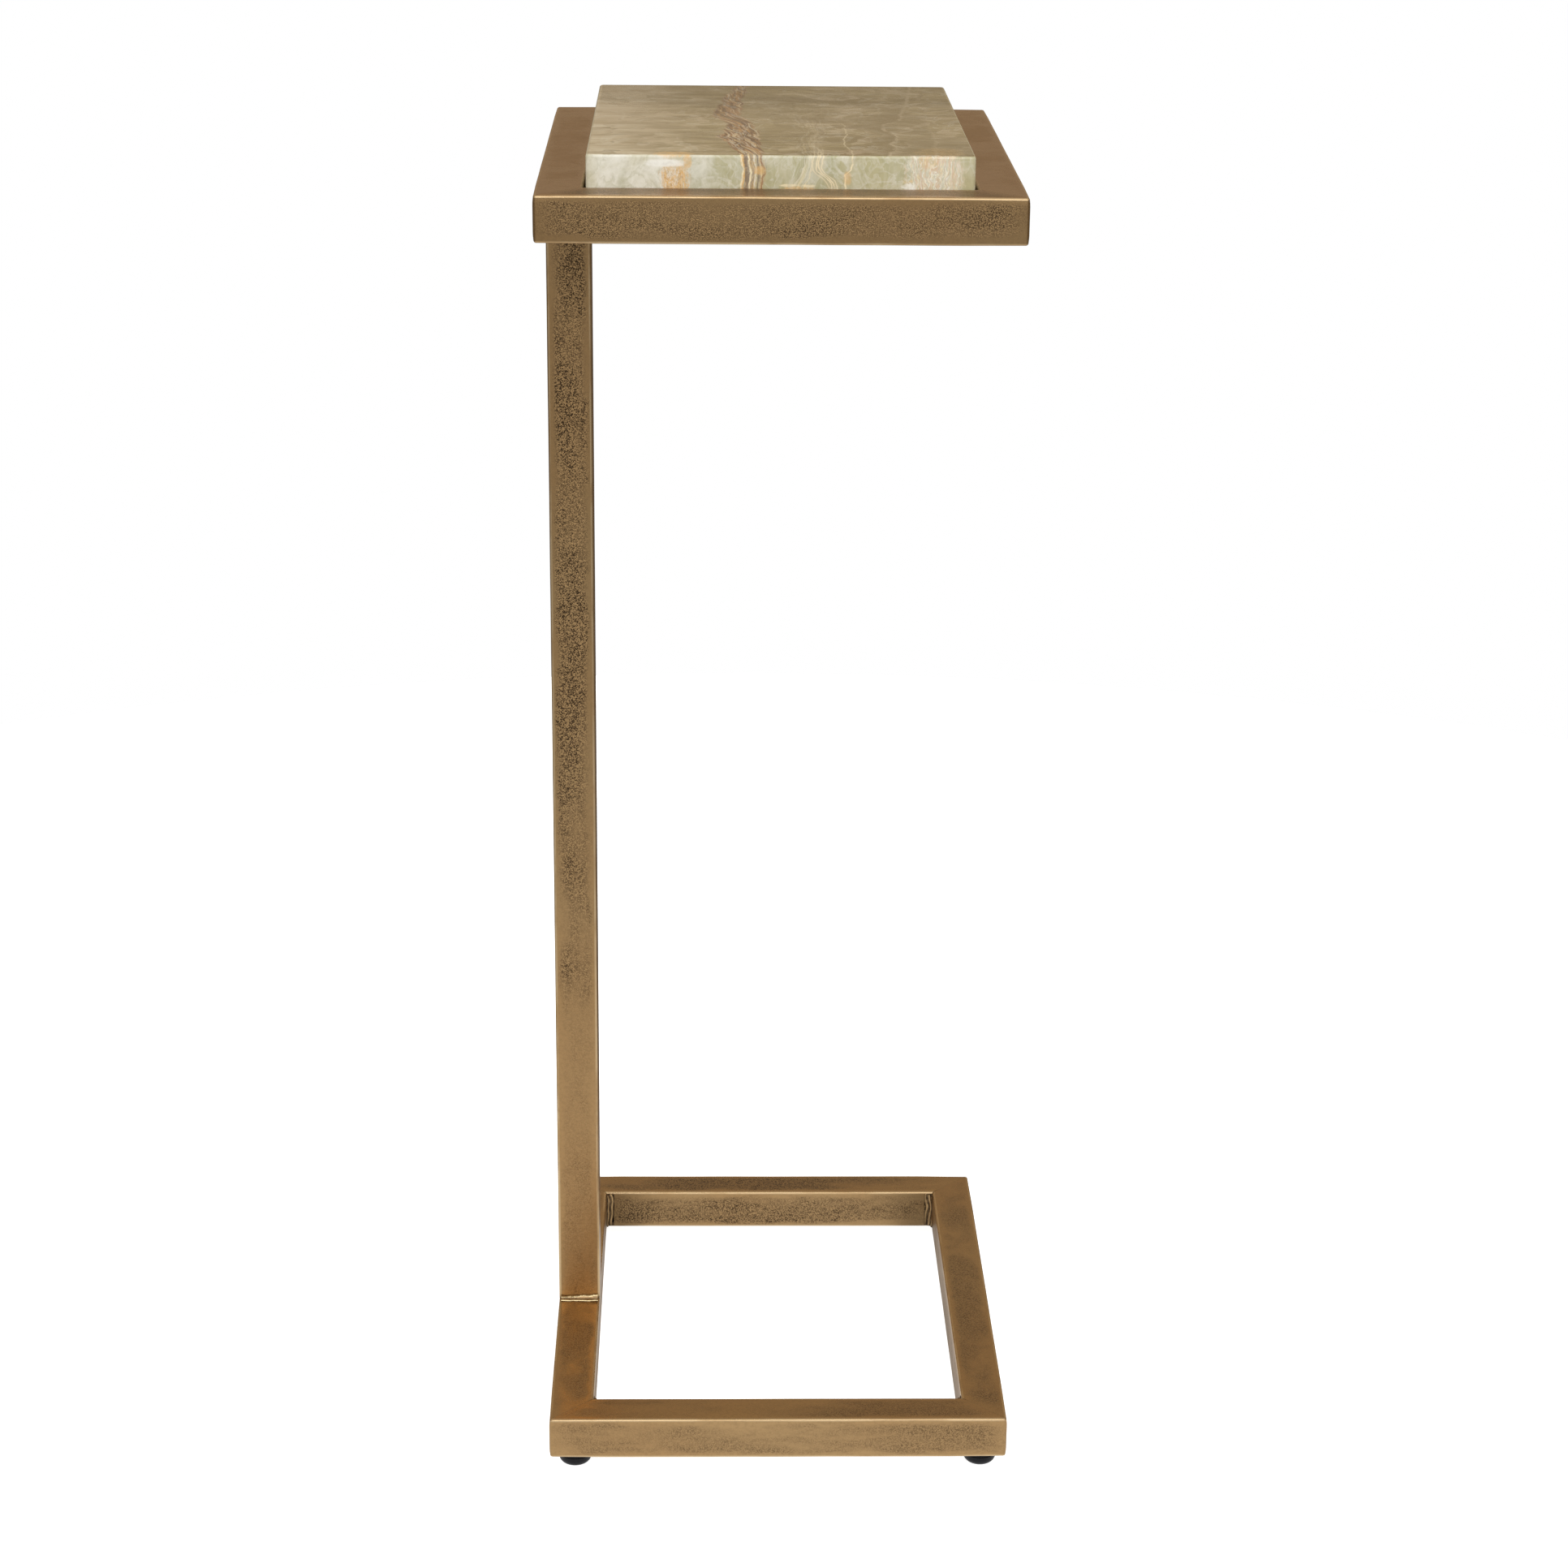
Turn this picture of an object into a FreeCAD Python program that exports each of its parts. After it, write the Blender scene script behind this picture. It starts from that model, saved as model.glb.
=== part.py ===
import FreeCAD, Part
import os
import Sketcher

# C-shaped accent table: a square-tube frame with one side column, a stone slab and four levelling feet.
# The origin is on the floor under the middle of the base frame. +Z is up and the front faces -Y.
# The column stands on the left side, so the open side of the C is to the right, along +X.

# Driving sizes, in millimetres
SIZES = {
    # Square tube
    "tube_size": 20.0,
    "tube_wall": 1.5,
    "tube_radius": 1.0,
    # Frames
    "base_width": 210.0,
    "base_depth": 256.0,
    "top_width": 202.5,
    "top_depth": 248.0,
    "column_length": 539.0,
    # Weld beads
    "foot_weld_leg": 3.2,
    "head_weld_leg": 2.6,
    "corner_weld_radius": 4.5,
    # Slab and what it rests on
    "slab_thickness": 28.7,
    "slab_gap": 1.0,
    "slab_arris": 1.2,
    "slab_corner_radius": 2.0,
    "ledge_width": 12.0,
    "ledge_thickness": 3.0,
    "bumper_diameter": 8.0,
    "bumper_thickness": 1.5,
    # Levelling feet
    "foot_inset": 11.5,
    "pad_diameter": 15.0,
    "pad_height": 7.5,
    "pad_round": 3.4,
    "pad_lip": 1.9,
    "stud_diameter": 6.0,
    "stud_reach": 12.0,
    "stud_tip_chamfer": 0.8,
    "head_diameter": 9.0,
    "head_thickness": 3.0,
    "thread_clearance": 0.05,
    "swivel_clearance": 0.1,
    "insert_flats": 10.0,
    "insert_height": 6.0,
    "collar_diameter": 8.0,
    "collar_clearance": 0.1,
    # Length that a cut runs past what it cuts
    "overrun": 2.0,
}

# The four sides of a frame, in order round it, each turned from the one before by a quarter turn
SIDES = ("front", "right", "back", "left")

# The four corners, each with its sides of X and Y
CORNERS = {
    "front_left": (-1, -1),
    "front_right": (1, -1),
    "back_left": (-1, 1),
    "back_right": (1, 1),
}

doc = FreeCAD.newDocument("accent_table")
sheet = doc.addObject("Spreadsheet::Sheet", "sizes")
for row, (alias, number) in enumerate(SIZES.items(), start=1):
    sheet.set(f"A{row}", alias)
    sheet.set(f"B{row}", str(number))
    sheet.setAlias(f"B{row}", alias)
doc.recompute()


class Size:
    """A length together with the expression that gives it from the sheet."""

    def __init__(self, value, text):
        self.value = value
        self.text = text

    def __add__(self, other):
        return Size(self.value + other.value, f"({self.text} + {other.text})")

    def __sub__(self, other):
        return Size(self.value - other.value, f"({self.text} - {other.text})")

    def __neg__(self):
        return Size(-self.value, f"(0 - {self.text})")

    def __mul__(self, factor):
        return Size(self.value * factor, f"({self.text} * {factor})")

    def __truediv__(self, factor):
        return Size(self.value / factor, f"({self.text} / {factor})")


ZERO = Size(0.0, "0")


def size(alias):
    """The driving size of that name."""
    return Size(SIZES[alias], f"{sheet.Name}.{alias}")


def bind(item, name, length):
    """Sets a property of an object and ties it to the sheet."""
    setattr(item, name, length.value)
    item.setExpression(name, length.text)


def place(item, x=ZERO, y=ZERO, z=ZERO, axis=(0, 0, 1), turn=0):
    """Puts an object at a point, turned about an axis."""
    spin = FreeCAD.Rotation(FreeCAD.Vector(*axis), turn)
    item.Placement = FreeCAD.Placement(FreeCAD.Vector(x.value, y.value, z.value), spin)
    for letter, length in (("x", x), ("y", y), ("z", z)):
        item.setExpression(f"Placement.Base.{letter}", length.text)


def origin_plane(body, role):
    """One of the body's own origin planes."""
    return next(plane for plane in body.Origin.OriginFeatures if plane.Role == role)


def new_body(label):
    body = doc.addObject("PartDesign::Body", label)
    body.Label = label
    return body


def new_sketch(body, name, role):
    sketch = body.newObject("Sketcher::SketchObject", name)
    sketch.AttachmentSupport = [(origin_plane(body, role), "")]
    sketch.MapMode = "FlatFace"
    return sketch


def pin_point(sketch, geometry, end, x, y):
    """Ties one point of a sketch to two lengths measured from the sketch's origin."""
    for kind, length in (("DistanceX", x), ("DistanceY", y)):
        index = sketch.addConstraint(Sketcher.Constraint(kind, -1, 1, geometry, end, length.value))
        sketch.setExpression(f"Constraints[{index}]", length.text)


def add_outline(sketch, points):
    """Draws a closed outline of straight lines through points."""
    first = sketch.GeometryCount
    count = len(points)
    corners = [FreeCAD.Vector(x.value, y.value, 0) for x, y in points]
    for number in range(count):
        sketch.addGeometry(Part.LineSegment(corners[number], corners[(number + 1) % count]))
    for number in range(count):
        following = first + (number + 1) % count
        sketch.addConstraint(Sketcher.Constraint("Coincident", first + number, 2, following, 1))
    for number, (x, y) in enumerate(points):
        pin_point(sketch, first + number, 1, x, y)


def add_circle(sketch, x, y, diameter):
    """Draws a circle of a bound diameter round a bound point."""
    centre = FreeCAD.Vector(x.value, y.value, 0)
    number = sketch.addGeometry(Part.Circle(centre, FreeCAD.Vector(0, 0, 1), diameter.value / 2))
    pin_point(sketch, number, 3, x, y)
    index = sketch.addConstraint(Sketcher.Constraint("Diameter", number, diameter.value))
    sketch.setExpression(f"Constraints[{index}]", diameter.text)


def rectangle(low_x, high_x, low_y, high_y):
    """The corners of a rectangle, in order."""
    return [(low_x, low_y), (high_x, low_y), (high_x, high_y), (low_x, high_y)]


def centred_square(side):
    return rectangle(-side / 2, side / 2, -side / 2, side / 2)


def pad(body, name, sketch, length):
    feature = body.newObject("PartDesign::Pad", name)
    feature.Profile = sketch
    bind(feature, "Length", length)
    doc.recompute()
    return feature


def pocket(body, name, sketch, length, midplane=False, reverse=False):
    """Cuts a sketch out of the body and checks that it removes material."""
    before = body.Shape.Volume
    feature = body.newObject("PartDesign::Pocket", name)
    feature.Profile = sketch
    feature.Midplane = midplane
    feature.Reversed = reverse
    bind(feature, "Length", length)
    doc.recompute()
    if not body.Shape.Volume < before:
        raise RuntimeError(f"{name} cuts nothing")
    return feature


def edges_along(shape, axis):
    """The names of the straight edges that run along an axis."""
    names = []
    for number, edge in enumerate(shape.Edges, start=1):
        if edge.Curve.TypeId == "Part::GeomLine":
            if edge.Curve.Direction.cross(FreeCAD.Vector(*axis)).Length < 1e-6:
                names.append(f"Edge{number}")
    return names


def edges_at_height(shape, height):
    """The names of the edges that lie level at one height."""
    names = []
    for number, edge in enumerate(shape.Edges, start=1):
        box = edge.BoundBox
        if abs(box.ZMin - height) < 1e-6 and abs(box.ZMax - height) < 1e-6:
            names.append(f"Edge{number}")
    return names


def dress_edges(body, kind, name, base, edges, length):
    """Rounds or chamfers edges of a feature."""
    feature = body.newObject(f"PartDesign::{kind}", name)
    feature.Base = (base, edges)
    bind(feature, "Radius" if kind == "Fillet" else "Size", length)
    doc.recompute()
    return feature


def group(label, pieces):
    """One node that holds separate identical solids."""
    compound = doc.addObject("Part::Compound", label)
    compound.Label = label
    compound.Links = pieces
    nodes.append(compound)


nodes = []

tube = size("tube_size")
wall = size("tube_wall")
overrun = size("overrun")
bore = tube - wall * 2

# Heights of the frames above the floor
base_z = size("pad_height")
column_z = base_z + tube
top_z = column_z + size("column_length")
rim_z = top_z + tube

# The two frames share their left outer face and their middle from front to back
left_x = -size("base_width") / 2
top_x = left_x + size("top_width") / 2

# Frame rails


def make_rail(label, length, foot_holes):
    """A mitred tube along X, its outer face on the XZ plane and its underside on the XY plane."""
    body = new_body(label)
    plan = new_sketch(body, f"{label}_plan", "XY_Plane")
    half = length / 2
    add_outline(plan, [(-half, ZERO), (half, ZERO), (half - tube, tube), (tube - half, tube)])
    bar = pad(body, f"{label}_bar", plan, tube)
    long_edges = edges_along(bar.Shape, (1, 0, 0))
    dress_edges(body, "Fillet", f"{label}_edges", bar, long_edges, size("tube_radius"))
    section = new_sketch(body, f"{label}_section", "YZ_Plane")
    add_outline(section, rectangle(wall, tube - wall, wall, tube - wall))
    pocket(body, f"{label}_bore", section, length + overrun, midplane=True)
    if foot_holes:
        drill = new_sketch(body, f"{label}_drilling", "XY_Plane")
        inset = size("foot_inset")
        hole = size("collar_diameter") + size("collar_clearance") * 2
        for place_x in (inset - half, half - inset):
            add_circle(drill, place_x, inset, hole)
        pocket(body, f"{label}_holes", drill, wall + overrun, reverse=True)
    nodes.append(body)
    return body


def make_frame(prefix, width, depth, centre_x, bottom_z, foot_holes):
    """Four rails round a rectangle, each turned so that its outer face is outside."""
    for number, side in enumerate(SIDES):
        across = side in ("front", "back")
        rail = make_rail(f"{prefix}_rail_{side}", width if across else depth, foot_holes)
        x = {"left": centre_x - width / 2, "right": centre_x + width / 2}.get(side, centre_x)
        y = {"front": -depth / 2, "back": depth / 2}.get(side, ZERO)
        place(rail, x, y, bottom_z, turn=number * 360 / len(SIDES))


make_frame("base", size("base_width"), size("base_depth"), ZERO, base_z, True)
make_frame("top", size("top_width"), size("top_depth"), top_x, top_z, False)

# Column


def make_column():
    """The upright tube on the middle of the left base rail, flush with its outer face."""
    body = new_body("column_tube")
    outside = new_sketch(body, "column_outside", "XY_Plane")
    add_outline(outside, centred_square(tube))
    bar = pad(body, "column_bar", outside, size("column_length"))
    long_edges = edges_along(bar.Shape, (0, 0, 1))
    dress_edges(body, "Fillet", "column_edges", bar, long_edges, size("tube_radius"))
    inside = new_sketch(body, "column_inside", "XY_Plane")
    add_outline(inside, centred_square(bore))
    pocket(body, "column_bore", inside, size("column_length") + overrun, reverse=True)
    place(body, column_x, ZERO, column_z)
    nodes.append(body)


column_x = left_x + tube / 2
make_column()

# Weld beads


def make_bead(name, leg, front, bottom_z, below):
    """A quarter-round bead across the tube, in the corner between the column and a rail."""
    bead = doc.addObject("Part::Cylinder", name)
    bind(bead, "Radius", leg)
    bind(bead, "Height", tube - size("tube_radius") * 2)
    bead.Angle = 90
    start_x = left_x + size("tube_radius")
    # The quarter lies between local X and local Y. Local Z runs along the bead.
    along = FreeCAD.Vector(1, 0, 0)
    up = FreeCAD.Vector(0, 0, -1 if below else 1)
    out = FreeCAD.Vector(0, -1 if front else 1, 0)
    first, second = (out, up) if out.cross(up).dot(along) > 0 else (up, out)
    spin = FreeCAD.Rotation(first, second, along, "ZXY")
    place(bead, start_x, -tube / 2 if front else tube / 2, bottom_z)
    bead.Placement = FreeCAD.Placement(bead.Placement.Base, spin)
    return bead


group("column_foot_welds", [
    make_bead("foot_weld_front", size("foot_weld_leg"), True, column_z, False),
    make_bead("foot_weld_back", size("foot_weld_leg"), False, column_z, False),
])
group("column_head_welds", [
    make_bead("head_weld_front", size("head_weld_leg"), True, top_z, True),
    make_bead("head_weld_back", size("head_weld_leg"), False, top_z, True),
])


def make_corner_weld(corner, side_x, side_y):
    """A hollow-faced fillet up the inner corner between two base rails."""
    radius = size("corner_weld_radius")
    height = tube - size("tube_radius") * 2
    inner_x = size("base_width") / 2 - tube
    inner_y = size("base_depth") / 2 - tube
    floor_z = base_z + size("tube_radius")
    block = doc.addObject("Part::Box", f"corner_block_{corner}")
    bind(block, "Length", radius)
    bind(block, "Width", radius)
    bind(block, "Height", height)
    block_x = inner_x - radius if side_x > 0 else -inner_x
    block_y = inner_y - radius if side_y > 0 else -inner_y
    place(block, block_x, block_y, floor_z)
    scoop = doc.addObject("Part::Cylinder", f"corner_scoop_{corner}")
    bind(scoop, "Radius", radius)
    bind(scoop, "Height", height + overrun * 2)
    place(scoop, (inner_x - radius) * side_x, (inner_y - radius) * side_y, floor_z - overrun)
    weld = doc.addObject("Part::Cut", f"corner_weld_{corner}")
    weld.Base = block
    weld.Tool = scoop
    return weld


group("base_corner_welds", [make_corner_weld(name, *sides) for name, sides in CORNERS.items()])

# Ledges that carry the slab inside the top frame


def make_ledge(label, length_x, length_y, x, y):
    """A flat bar with its underside level with the frame's underside."""
    body = new_body(label)
    plan = new_sketch(body, f"{label}_plan", "XY_Plane")
    add_outline(plan, rectangle(-length_x / 2, length_x / 2, -length_y / 2, length_y / 2))
    pad(body, f"{label}_bar", plan, size("ledge_thickness"))
    place(body, x, y, top_z)
    nodes.append(body)


well_width = size("top_width") - tube * 2
well_depth = size("top_depth") - tube * 2
ledge = size("ledge_width")
for side, sign in (("front", -1), ("back", 1)):
    make_ledge(f"slab_ledge_{side}", well_width, ledge, top_x, (well_depth - ledge) / 2 * sign)
for side, sign in (("left", -1), ("right", 1)):
    make_ledge(f"slab_ledge_{side}", ledge, well_depth - ledge * 2,
               top_x + (well_width - ledge) / 2 * sign, ZERO)

# Slab and its bumper pads
bumper_z = top_z + size("ledge_thickness")


def make_bumper(corner, side_x, side_y):
    bumper = doc.addObject("Part::Cylinder", f"bumper_{corner}")
    bind(bumper, "Radius", size("bumper_diameter") / 2)
    bind(bumper, "Height", size("bumper_thickness"))
    x = top_x + (well_width - ledge) / 2 * side_x
    place(bumper, x, (well_depth - ledge) / 2 * side_y, bumper_z)
    return bumper


group("slab_bumper_pads", [make_bumper(name, *sides) for name, sides in CORNERS.items()])


def make_slab():
    """The stone slab, standing proud of the top frame."""
    body = new_body("onyx_slab")
    plan = new_sketch(body, "slab_plan", "XY_Plane")
    width = well_width - size("slab_gap") * 2
    depth = well_depth - size("slab_gap") * 2
    add_outline(plan, rectangle(-width / 2, width / 2, -depth / 2, depth / 2))
    block = pad(body, "slab_block", plan, size("slab_thickness"))
    upright = edges_along(block.Shape, (0, 0, 1))
    corners = dress_edges(body, "Fillet", "slab_corners", block, upright, size("slab_corner_radius"))
    rim = edges_at_height(corners.Shape, size("slab_thickness").value)
    dress_edges(body, "Chamfer", "slab_rim", corners, rim, size("slab_arris"))
    place(body, top_x, ZERO, bumper_z + size("bumper_thickness"))
    nodes.append(body)


make_slab()

# Levelling feet


def revolve(body, name, points):
    """Turns an outline in the XZ plane about the upright axis."""
    sketch = new_sketch(body, f"{name}_outline", "XZ_Plane")
    add_outline(sketch, points)
    feature = body.newObject("PartDesign::Revolution", name)
    feature.Profile = sketch
    feature.ReferenceAxis = (sketch, ["V_Axis"])
    feature.Angle = 360
    doc.recompute()
    return feature


stud_radius = size("stud_diameter") / 2
head_radius = size("head_diameter") / 2
swivel = size("swivel_clearance")
pad_height = size("pad_height")
socket_top = pad_height - size("pad_lip")
socket_floor = socket_top - size("head_thickness") - swivel * 2


def make_foot_pad(corner, x, y):
    """A round-bottomed glide with a socket that holds the stud's head."""
    label = f"foot_pad_{corner}"
    body = new_body(label)
    radius = size("pad_diameter") / 2
    neck = stud_radius + swivel
    socket = head_radius + swivel
    cup = revolve(body, f"{label}_cup", [
        (ZERO, ZERO), (radius, ZERO), (radius, pad_height), (neck, pad_height),
        (neck, socket_top), (socket, socket_top), (socket, socket_floor), (ZERO, socket_floor),
    ])
    edges = edges_at_height(cup.Shape, 0.0)
    dress_edges(body, "Fillet", f"{label}_dome", cup, edges, size("pad_round"))
    place(body, x, y, ZERO)
    nodes.append(body)


def make_foot_stud(corner, x, y):
    """The threaded stud with its round head, as plain cylinders."""
    label = f"foot_stud_{corner}"
    body = new_body(label)
    low = socket_floor + swivel
    shoulder = low + size("head_thickness")
    tip = pad_height + size("stud_reach")
    bevel = size("stud_tip_chamfer")
    revolve(body, f"{label}_turning", [
        (ZERO, low), (head_radius, low), (head_radius, shoulder), (stud_radius, shoulder),
        (stud_radius, tip - bevel), (stud_radius - bevel, tip), (ZERO, tip),
    ])
    place(body, x, y, ZERO)
    nodes.append(body)


def make_foot_insert(corner, x, y):
    """The hexagonal weld nut inside the rail, with a collar in the rail's drilled hole."""
    label = f"foot_insert_{corner}"
    nut = doc.addObject("Part::Prism", f"{label}_nut")
    nut.Polygon = 6
    # The corner radius of a hexagon is its width across flats over the square root of three
    bind(nut, "Circumradius", size("insert_flats") / 3 ** 0.5)
    bind(nut, "Height", size("insert_height"))
    place(nut, x, y, base_z + wall)
    collar = doc.addObject("Part::Cylinder", f"{label}_collar")
    bind(collar, "Radius", size("collar_diameter") / 2)
    bind(collar, "Height", wall)
    place(collar, x, y, base_z)
    blank = doc.addObject("Part::Fuse", f"{label}_blank")
    blank.Base = nut
    blank.Tool = collar
    thread = doc.addObject("Part::Cylinder", f"{label}_thread")
    bind(thread, "Radius", stud_radius + size("thread_clearance"))
    bind(thread, "Height", wall + size("insert_height") + overrun * 2)
    place(thread, x, y, base_z - overrun)
    insert = doc.addObject("Part::Cut", label)
    insert.Label = label
    insert.Base = blank
    insert.Tool = thread
    nodes.append(insert)


foot_x = size("base_width") / 2 - size("foot_inset")
foot_y = size("base_depth") / 2 - size("foot_inset")
for corner, (side_x, side_y) in CORNERS.items():
    for make in (make_foot_pad, make_foot_stud, make_foot_insert):
        make(corner, foot_x * side_x, foot_y * side_y)

# Checks, then one file for each node
doc.recompute()
for item in doc.Objects:
    if "Invalid" in item.State or "Error" in item.State:
        raise RuntimeError(f"{item.Label} failed: {item.State}")
for node in nodes:
    if node.Shape.isNull() or not node.Shape.isValid():
        raise RuntimeError(f"{node.Label} has no valid shape")
os.makedirs("parts", exist_ok=True)
for node in nodes:
    node.Shape.exportStep(f"parts/{node.Label}.step")
    print(node.Label, len(node.Shape.Solids), round(node.Shape.Volume, 3))
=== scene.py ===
import math

import bmesh
import bpy
import numpy as np
from mathutils import Matrix, Vector, noise


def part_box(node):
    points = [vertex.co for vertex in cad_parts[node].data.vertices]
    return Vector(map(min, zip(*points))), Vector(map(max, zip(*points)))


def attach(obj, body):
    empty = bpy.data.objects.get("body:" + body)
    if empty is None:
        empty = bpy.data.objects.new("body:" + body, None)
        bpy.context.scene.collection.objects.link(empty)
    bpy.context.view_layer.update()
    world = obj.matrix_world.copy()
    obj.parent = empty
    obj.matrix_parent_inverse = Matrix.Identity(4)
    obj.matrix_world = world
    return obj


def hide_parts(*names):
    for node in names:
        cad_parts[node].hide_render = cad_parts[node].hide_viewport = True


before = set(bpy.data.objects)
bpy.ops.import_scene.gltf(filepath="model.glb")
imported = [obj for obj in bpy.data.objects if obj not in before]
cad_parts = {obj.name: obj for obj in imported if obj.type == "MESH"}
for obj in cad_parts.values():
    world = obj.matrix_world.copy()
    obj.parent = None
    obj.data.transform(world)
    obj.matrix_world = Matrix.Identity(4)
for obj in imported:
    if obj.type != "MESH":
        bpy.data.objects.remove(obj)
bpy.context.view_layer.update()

MM = 0.001
FULL_WHITE = (1.0, 1.0, 1.0, 1.0)

# Camera, in the photograph's square frame
PHOTO_SIDE_PX = 1932
FOCAL_PX = 4270.85
SENSOR_MM = 36.0
CAMERA_AT = (-0.03521, -1.52966, 0.82443)
CAMERA_YAW = 0.02474
CAMERA_PITCH = 0.33555
CAMERA_ROLL = -0.01035
CLIP_NEAR, CLIP_FAR = 0.05, 50.0

# Tube. The marks are millimetres from an arris and from a rail's end
TUBE = 20.0 * MM
WALL = 1.5 * MM
BORE = ((WALL, WALL), (TUBE - WALL, WALL), (TUBE - WALL, TUBE - WALL), (WALL, TUBE - WALL))
ARRIS = 1.0 * MM
ARRIS_STEPS = 6
CORNER_ROUND = 1.7 * MM
STATION_STEP = 2.5 * MM
FACE_MARKS = (0.06, 0.35, 0.9, 1.8, 3.2, 5.0, 7.0)
TIP_MARKS = (3.0, 2.3, 1.9, 1.6, 1.3, 1.0, 0.7, 0.45, 0.2, 0.0)
TIP_LENGTH = 4.0 * MM

# Hand grinding: it takes more at an arris, and more near the frame's corners
WEAR_REACH = 2.5 * MM
WEAR_GRAIN = 34
CORNER_REACH = 26.0 * MM
RAIL_GROUND, CORNER_GROUND, RAIL_UNEVEN = 0.05 * MM, 0.16 * MM, 0.08 * MM
COLUMN_GROUND, COLUMN_UNEVEN = 0.04 * MM, 0.09 * MM

# Welds
BEAD_ROWS = 72
FILLET_RADIUS = 4.5 * MM
FILLET_ROWS, FILLET_STEPS = 30, 16

# Slab
SLAB_CORNER = 2.0 * MM
SLAB_ARRIS = 1.1 * MM

# A smaller radius counts as none
ON_AXIS = 1e-7

# Glides. The groove's heights count from the floor, and LIP_DEPTH and SOCKET_DEPTH from the glide's top
GLIDE_DOME = 3.4 * MM
GLIDE_RIM = 0.5 * MM
FLAT_MARGIN = 0.6 * MM
GROOVE_HEIGHTS = (4.6 * MM, 4.9 * MM, 5.3 * MM, 5.6 * MM)
GROOVE_DEPTH = 0.35 * MM
NECK_RADIUS, LIP_DEPTH = 3.1 * MM, 1.9 * MM
SOCKET_RADIUS, SOCKET_DEPTH = 4.6 * MM, 5.1 * MM

# Studs
STUD_HEAD = 3.0 * MM
STUD_EASE = 0.3 * MM
STUD_SIDES = 40
SHOULDER_RADIUS = 2.5 * MM
SHANK_RADIUS = 2.98 * MM
THREAD_PITCH, THREAD_DEPTH = 1.0 * MM, 0.45 * MM
THREAD_FADE = 0.8 * MM
ROWS_PER_PITCH = 8

SIDES = ("front", "right", "back", "left")
CORNERS = {"front_left": (-1, -1), "front_right": (1, -1), "back_left": (-1, 1), "back_right": (1, 1)}


# Node graphs


class Graph:
    """A short way to write a material's nodes."""

    def __init__(self, tree):
        self.tree = tree
        tree.nodes.clear()

    def add(self, kind, inputs=(), **settings):
        """A new shader node. Its settings come before its inputs, as they decide which it has."""
        node = self.tree.nodes.new(f"ShaderNode{kind}")
        for name, value in settings.items():
            setattr(node, name, value)
        for name, value in dict(inputs).items():
            self.feed(node.inputs[name], value)
        return node

    def out(self, kind, inputs=(), **settings):
        """The first output of a new node."""
        return self.add(kind, inputs, **settings).outputs[0]

    def feed(self, socket, value):
        if isinstance(value, bpy.types.NodeSocket):
            self.tree.links.new(value, socket)
        else:
            socket.default_value = value

    def math(self, operation, a, b=0.0, clamp=False):
        return self.out("Math", {0: a, 1: b}, operation=operation, use_clamp=clamp)

    def times(self, a, b, clamp=False):
        return self.math("MULTIPLY", a, b, clamp)

    def plus(self, a, b):
        return self.math("ADD", a, b)

    def minus(self, a, b):
        return self.math("SUBTRACT", a, b)

    def absolute(self, a):
        return self.math("ABSOLUTE", a)

    def ramp(self, value, low, high, to_low=0.0, to_high=1.0):
        """A smooth step from one value to another."""
        inputs = {"Value": value, "From Min": low, "From Max": high, "To Min": to_low, "To Max": to_high}
        return self.out("MapRange", inputs, interpolation_type="SMOOTHSTEP")

    def fall(self, value, low, high):
        """A smooth step down from 1 to 0."""
        return self.ramp(value, low, high, 1.0, 0.0)

    def mix(self, factor, a, b):
        node = self.add("Mix", {"Factor": factor}, data_type="RGBA")
        colours = [s for s in node.inputs if s.type == "RGBA"]
        for socket, value in zip(colours, (a, b)):
            self.feed(socket, value if isinstance(value, bpy.types.NodeSocket) else (*value, 1.0))
        return next(s for s in node.outputs if s.type == "RGBA")

    def blend_value(self, factor, a, b):
        inputs = {"Factor": factor, "A": a, "B": b}
        return self.out("Mix", inputs, data_type="FLOAT")

    def place(self, scale=(1.0, 1.0, 1.0), shift=(0.0, 0.0, 0.0)):
        """Object coordinates, scaled and then moved."""
        where = self.add("TexCoord").outputs["Object"]
        return self.out("Mapping", {"Vector": where, "Scale": scale, "Location": shift})

    def noise(self, vector, scale, detail=2.0, rough=0.5, distortion=0.0):
        inputs = {"Vector": vector, "Scale": scale, "Detail": detail, "Roughness": rough}
        inputs["Distortion"] = distortion
        return self.out("TexNoise", inputs)

    def attribute(self, name):
        return self.add("Attribute", attribute_name=name).outputs["Fac"]

    def axes(self):
        where = self.add("TexCoord").outputs["Object"]
        split = self.add("SeparateXYZ", {"Vector": where})
        return [split.outputs[n] for n in "XYZ"]

    def facing_up(self):
        """1 on a face that looks up, 0 on an upright one."""
        normal = self.add("NewGeometry").outputs["True Normal"]
        return self.add("SeparateXYZ", {"Vector": normal}).outputs["Z"]

    def bump(self, height, distance, strength=1.0, normal=None):
        inputs = {"Height": height, "Distance": distance, "Strength": strength}
        if normal is not None:
            inputs["Normal"] = normal
        return self.out("Bump", inputs)

    def shade(self, **inputs):
        """A Principled surface. Underscores in names stand for spaces."""
        surface = self.add("BsdfPrincipled")
        for name, value in inputs.items():
            self.feed(surface.inputs[name.replace("_", " ")], value)
        self.add("OutputMaterial", {"Surface": surface.outputs[0]})

    def add_shaders(self, a, b):
        return self.out("AddShader", {0: a, 1: b})

    def mix_shaders(self, factor, a, b):
        return self.out("MixShader", {0: factor, 1: a, 2: b})


def new_material(name):
    material = bpy.data.materials.new(name)
    material.use_nodes = True
    return material, Graph(material.node_tree)


# Materials

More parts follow.
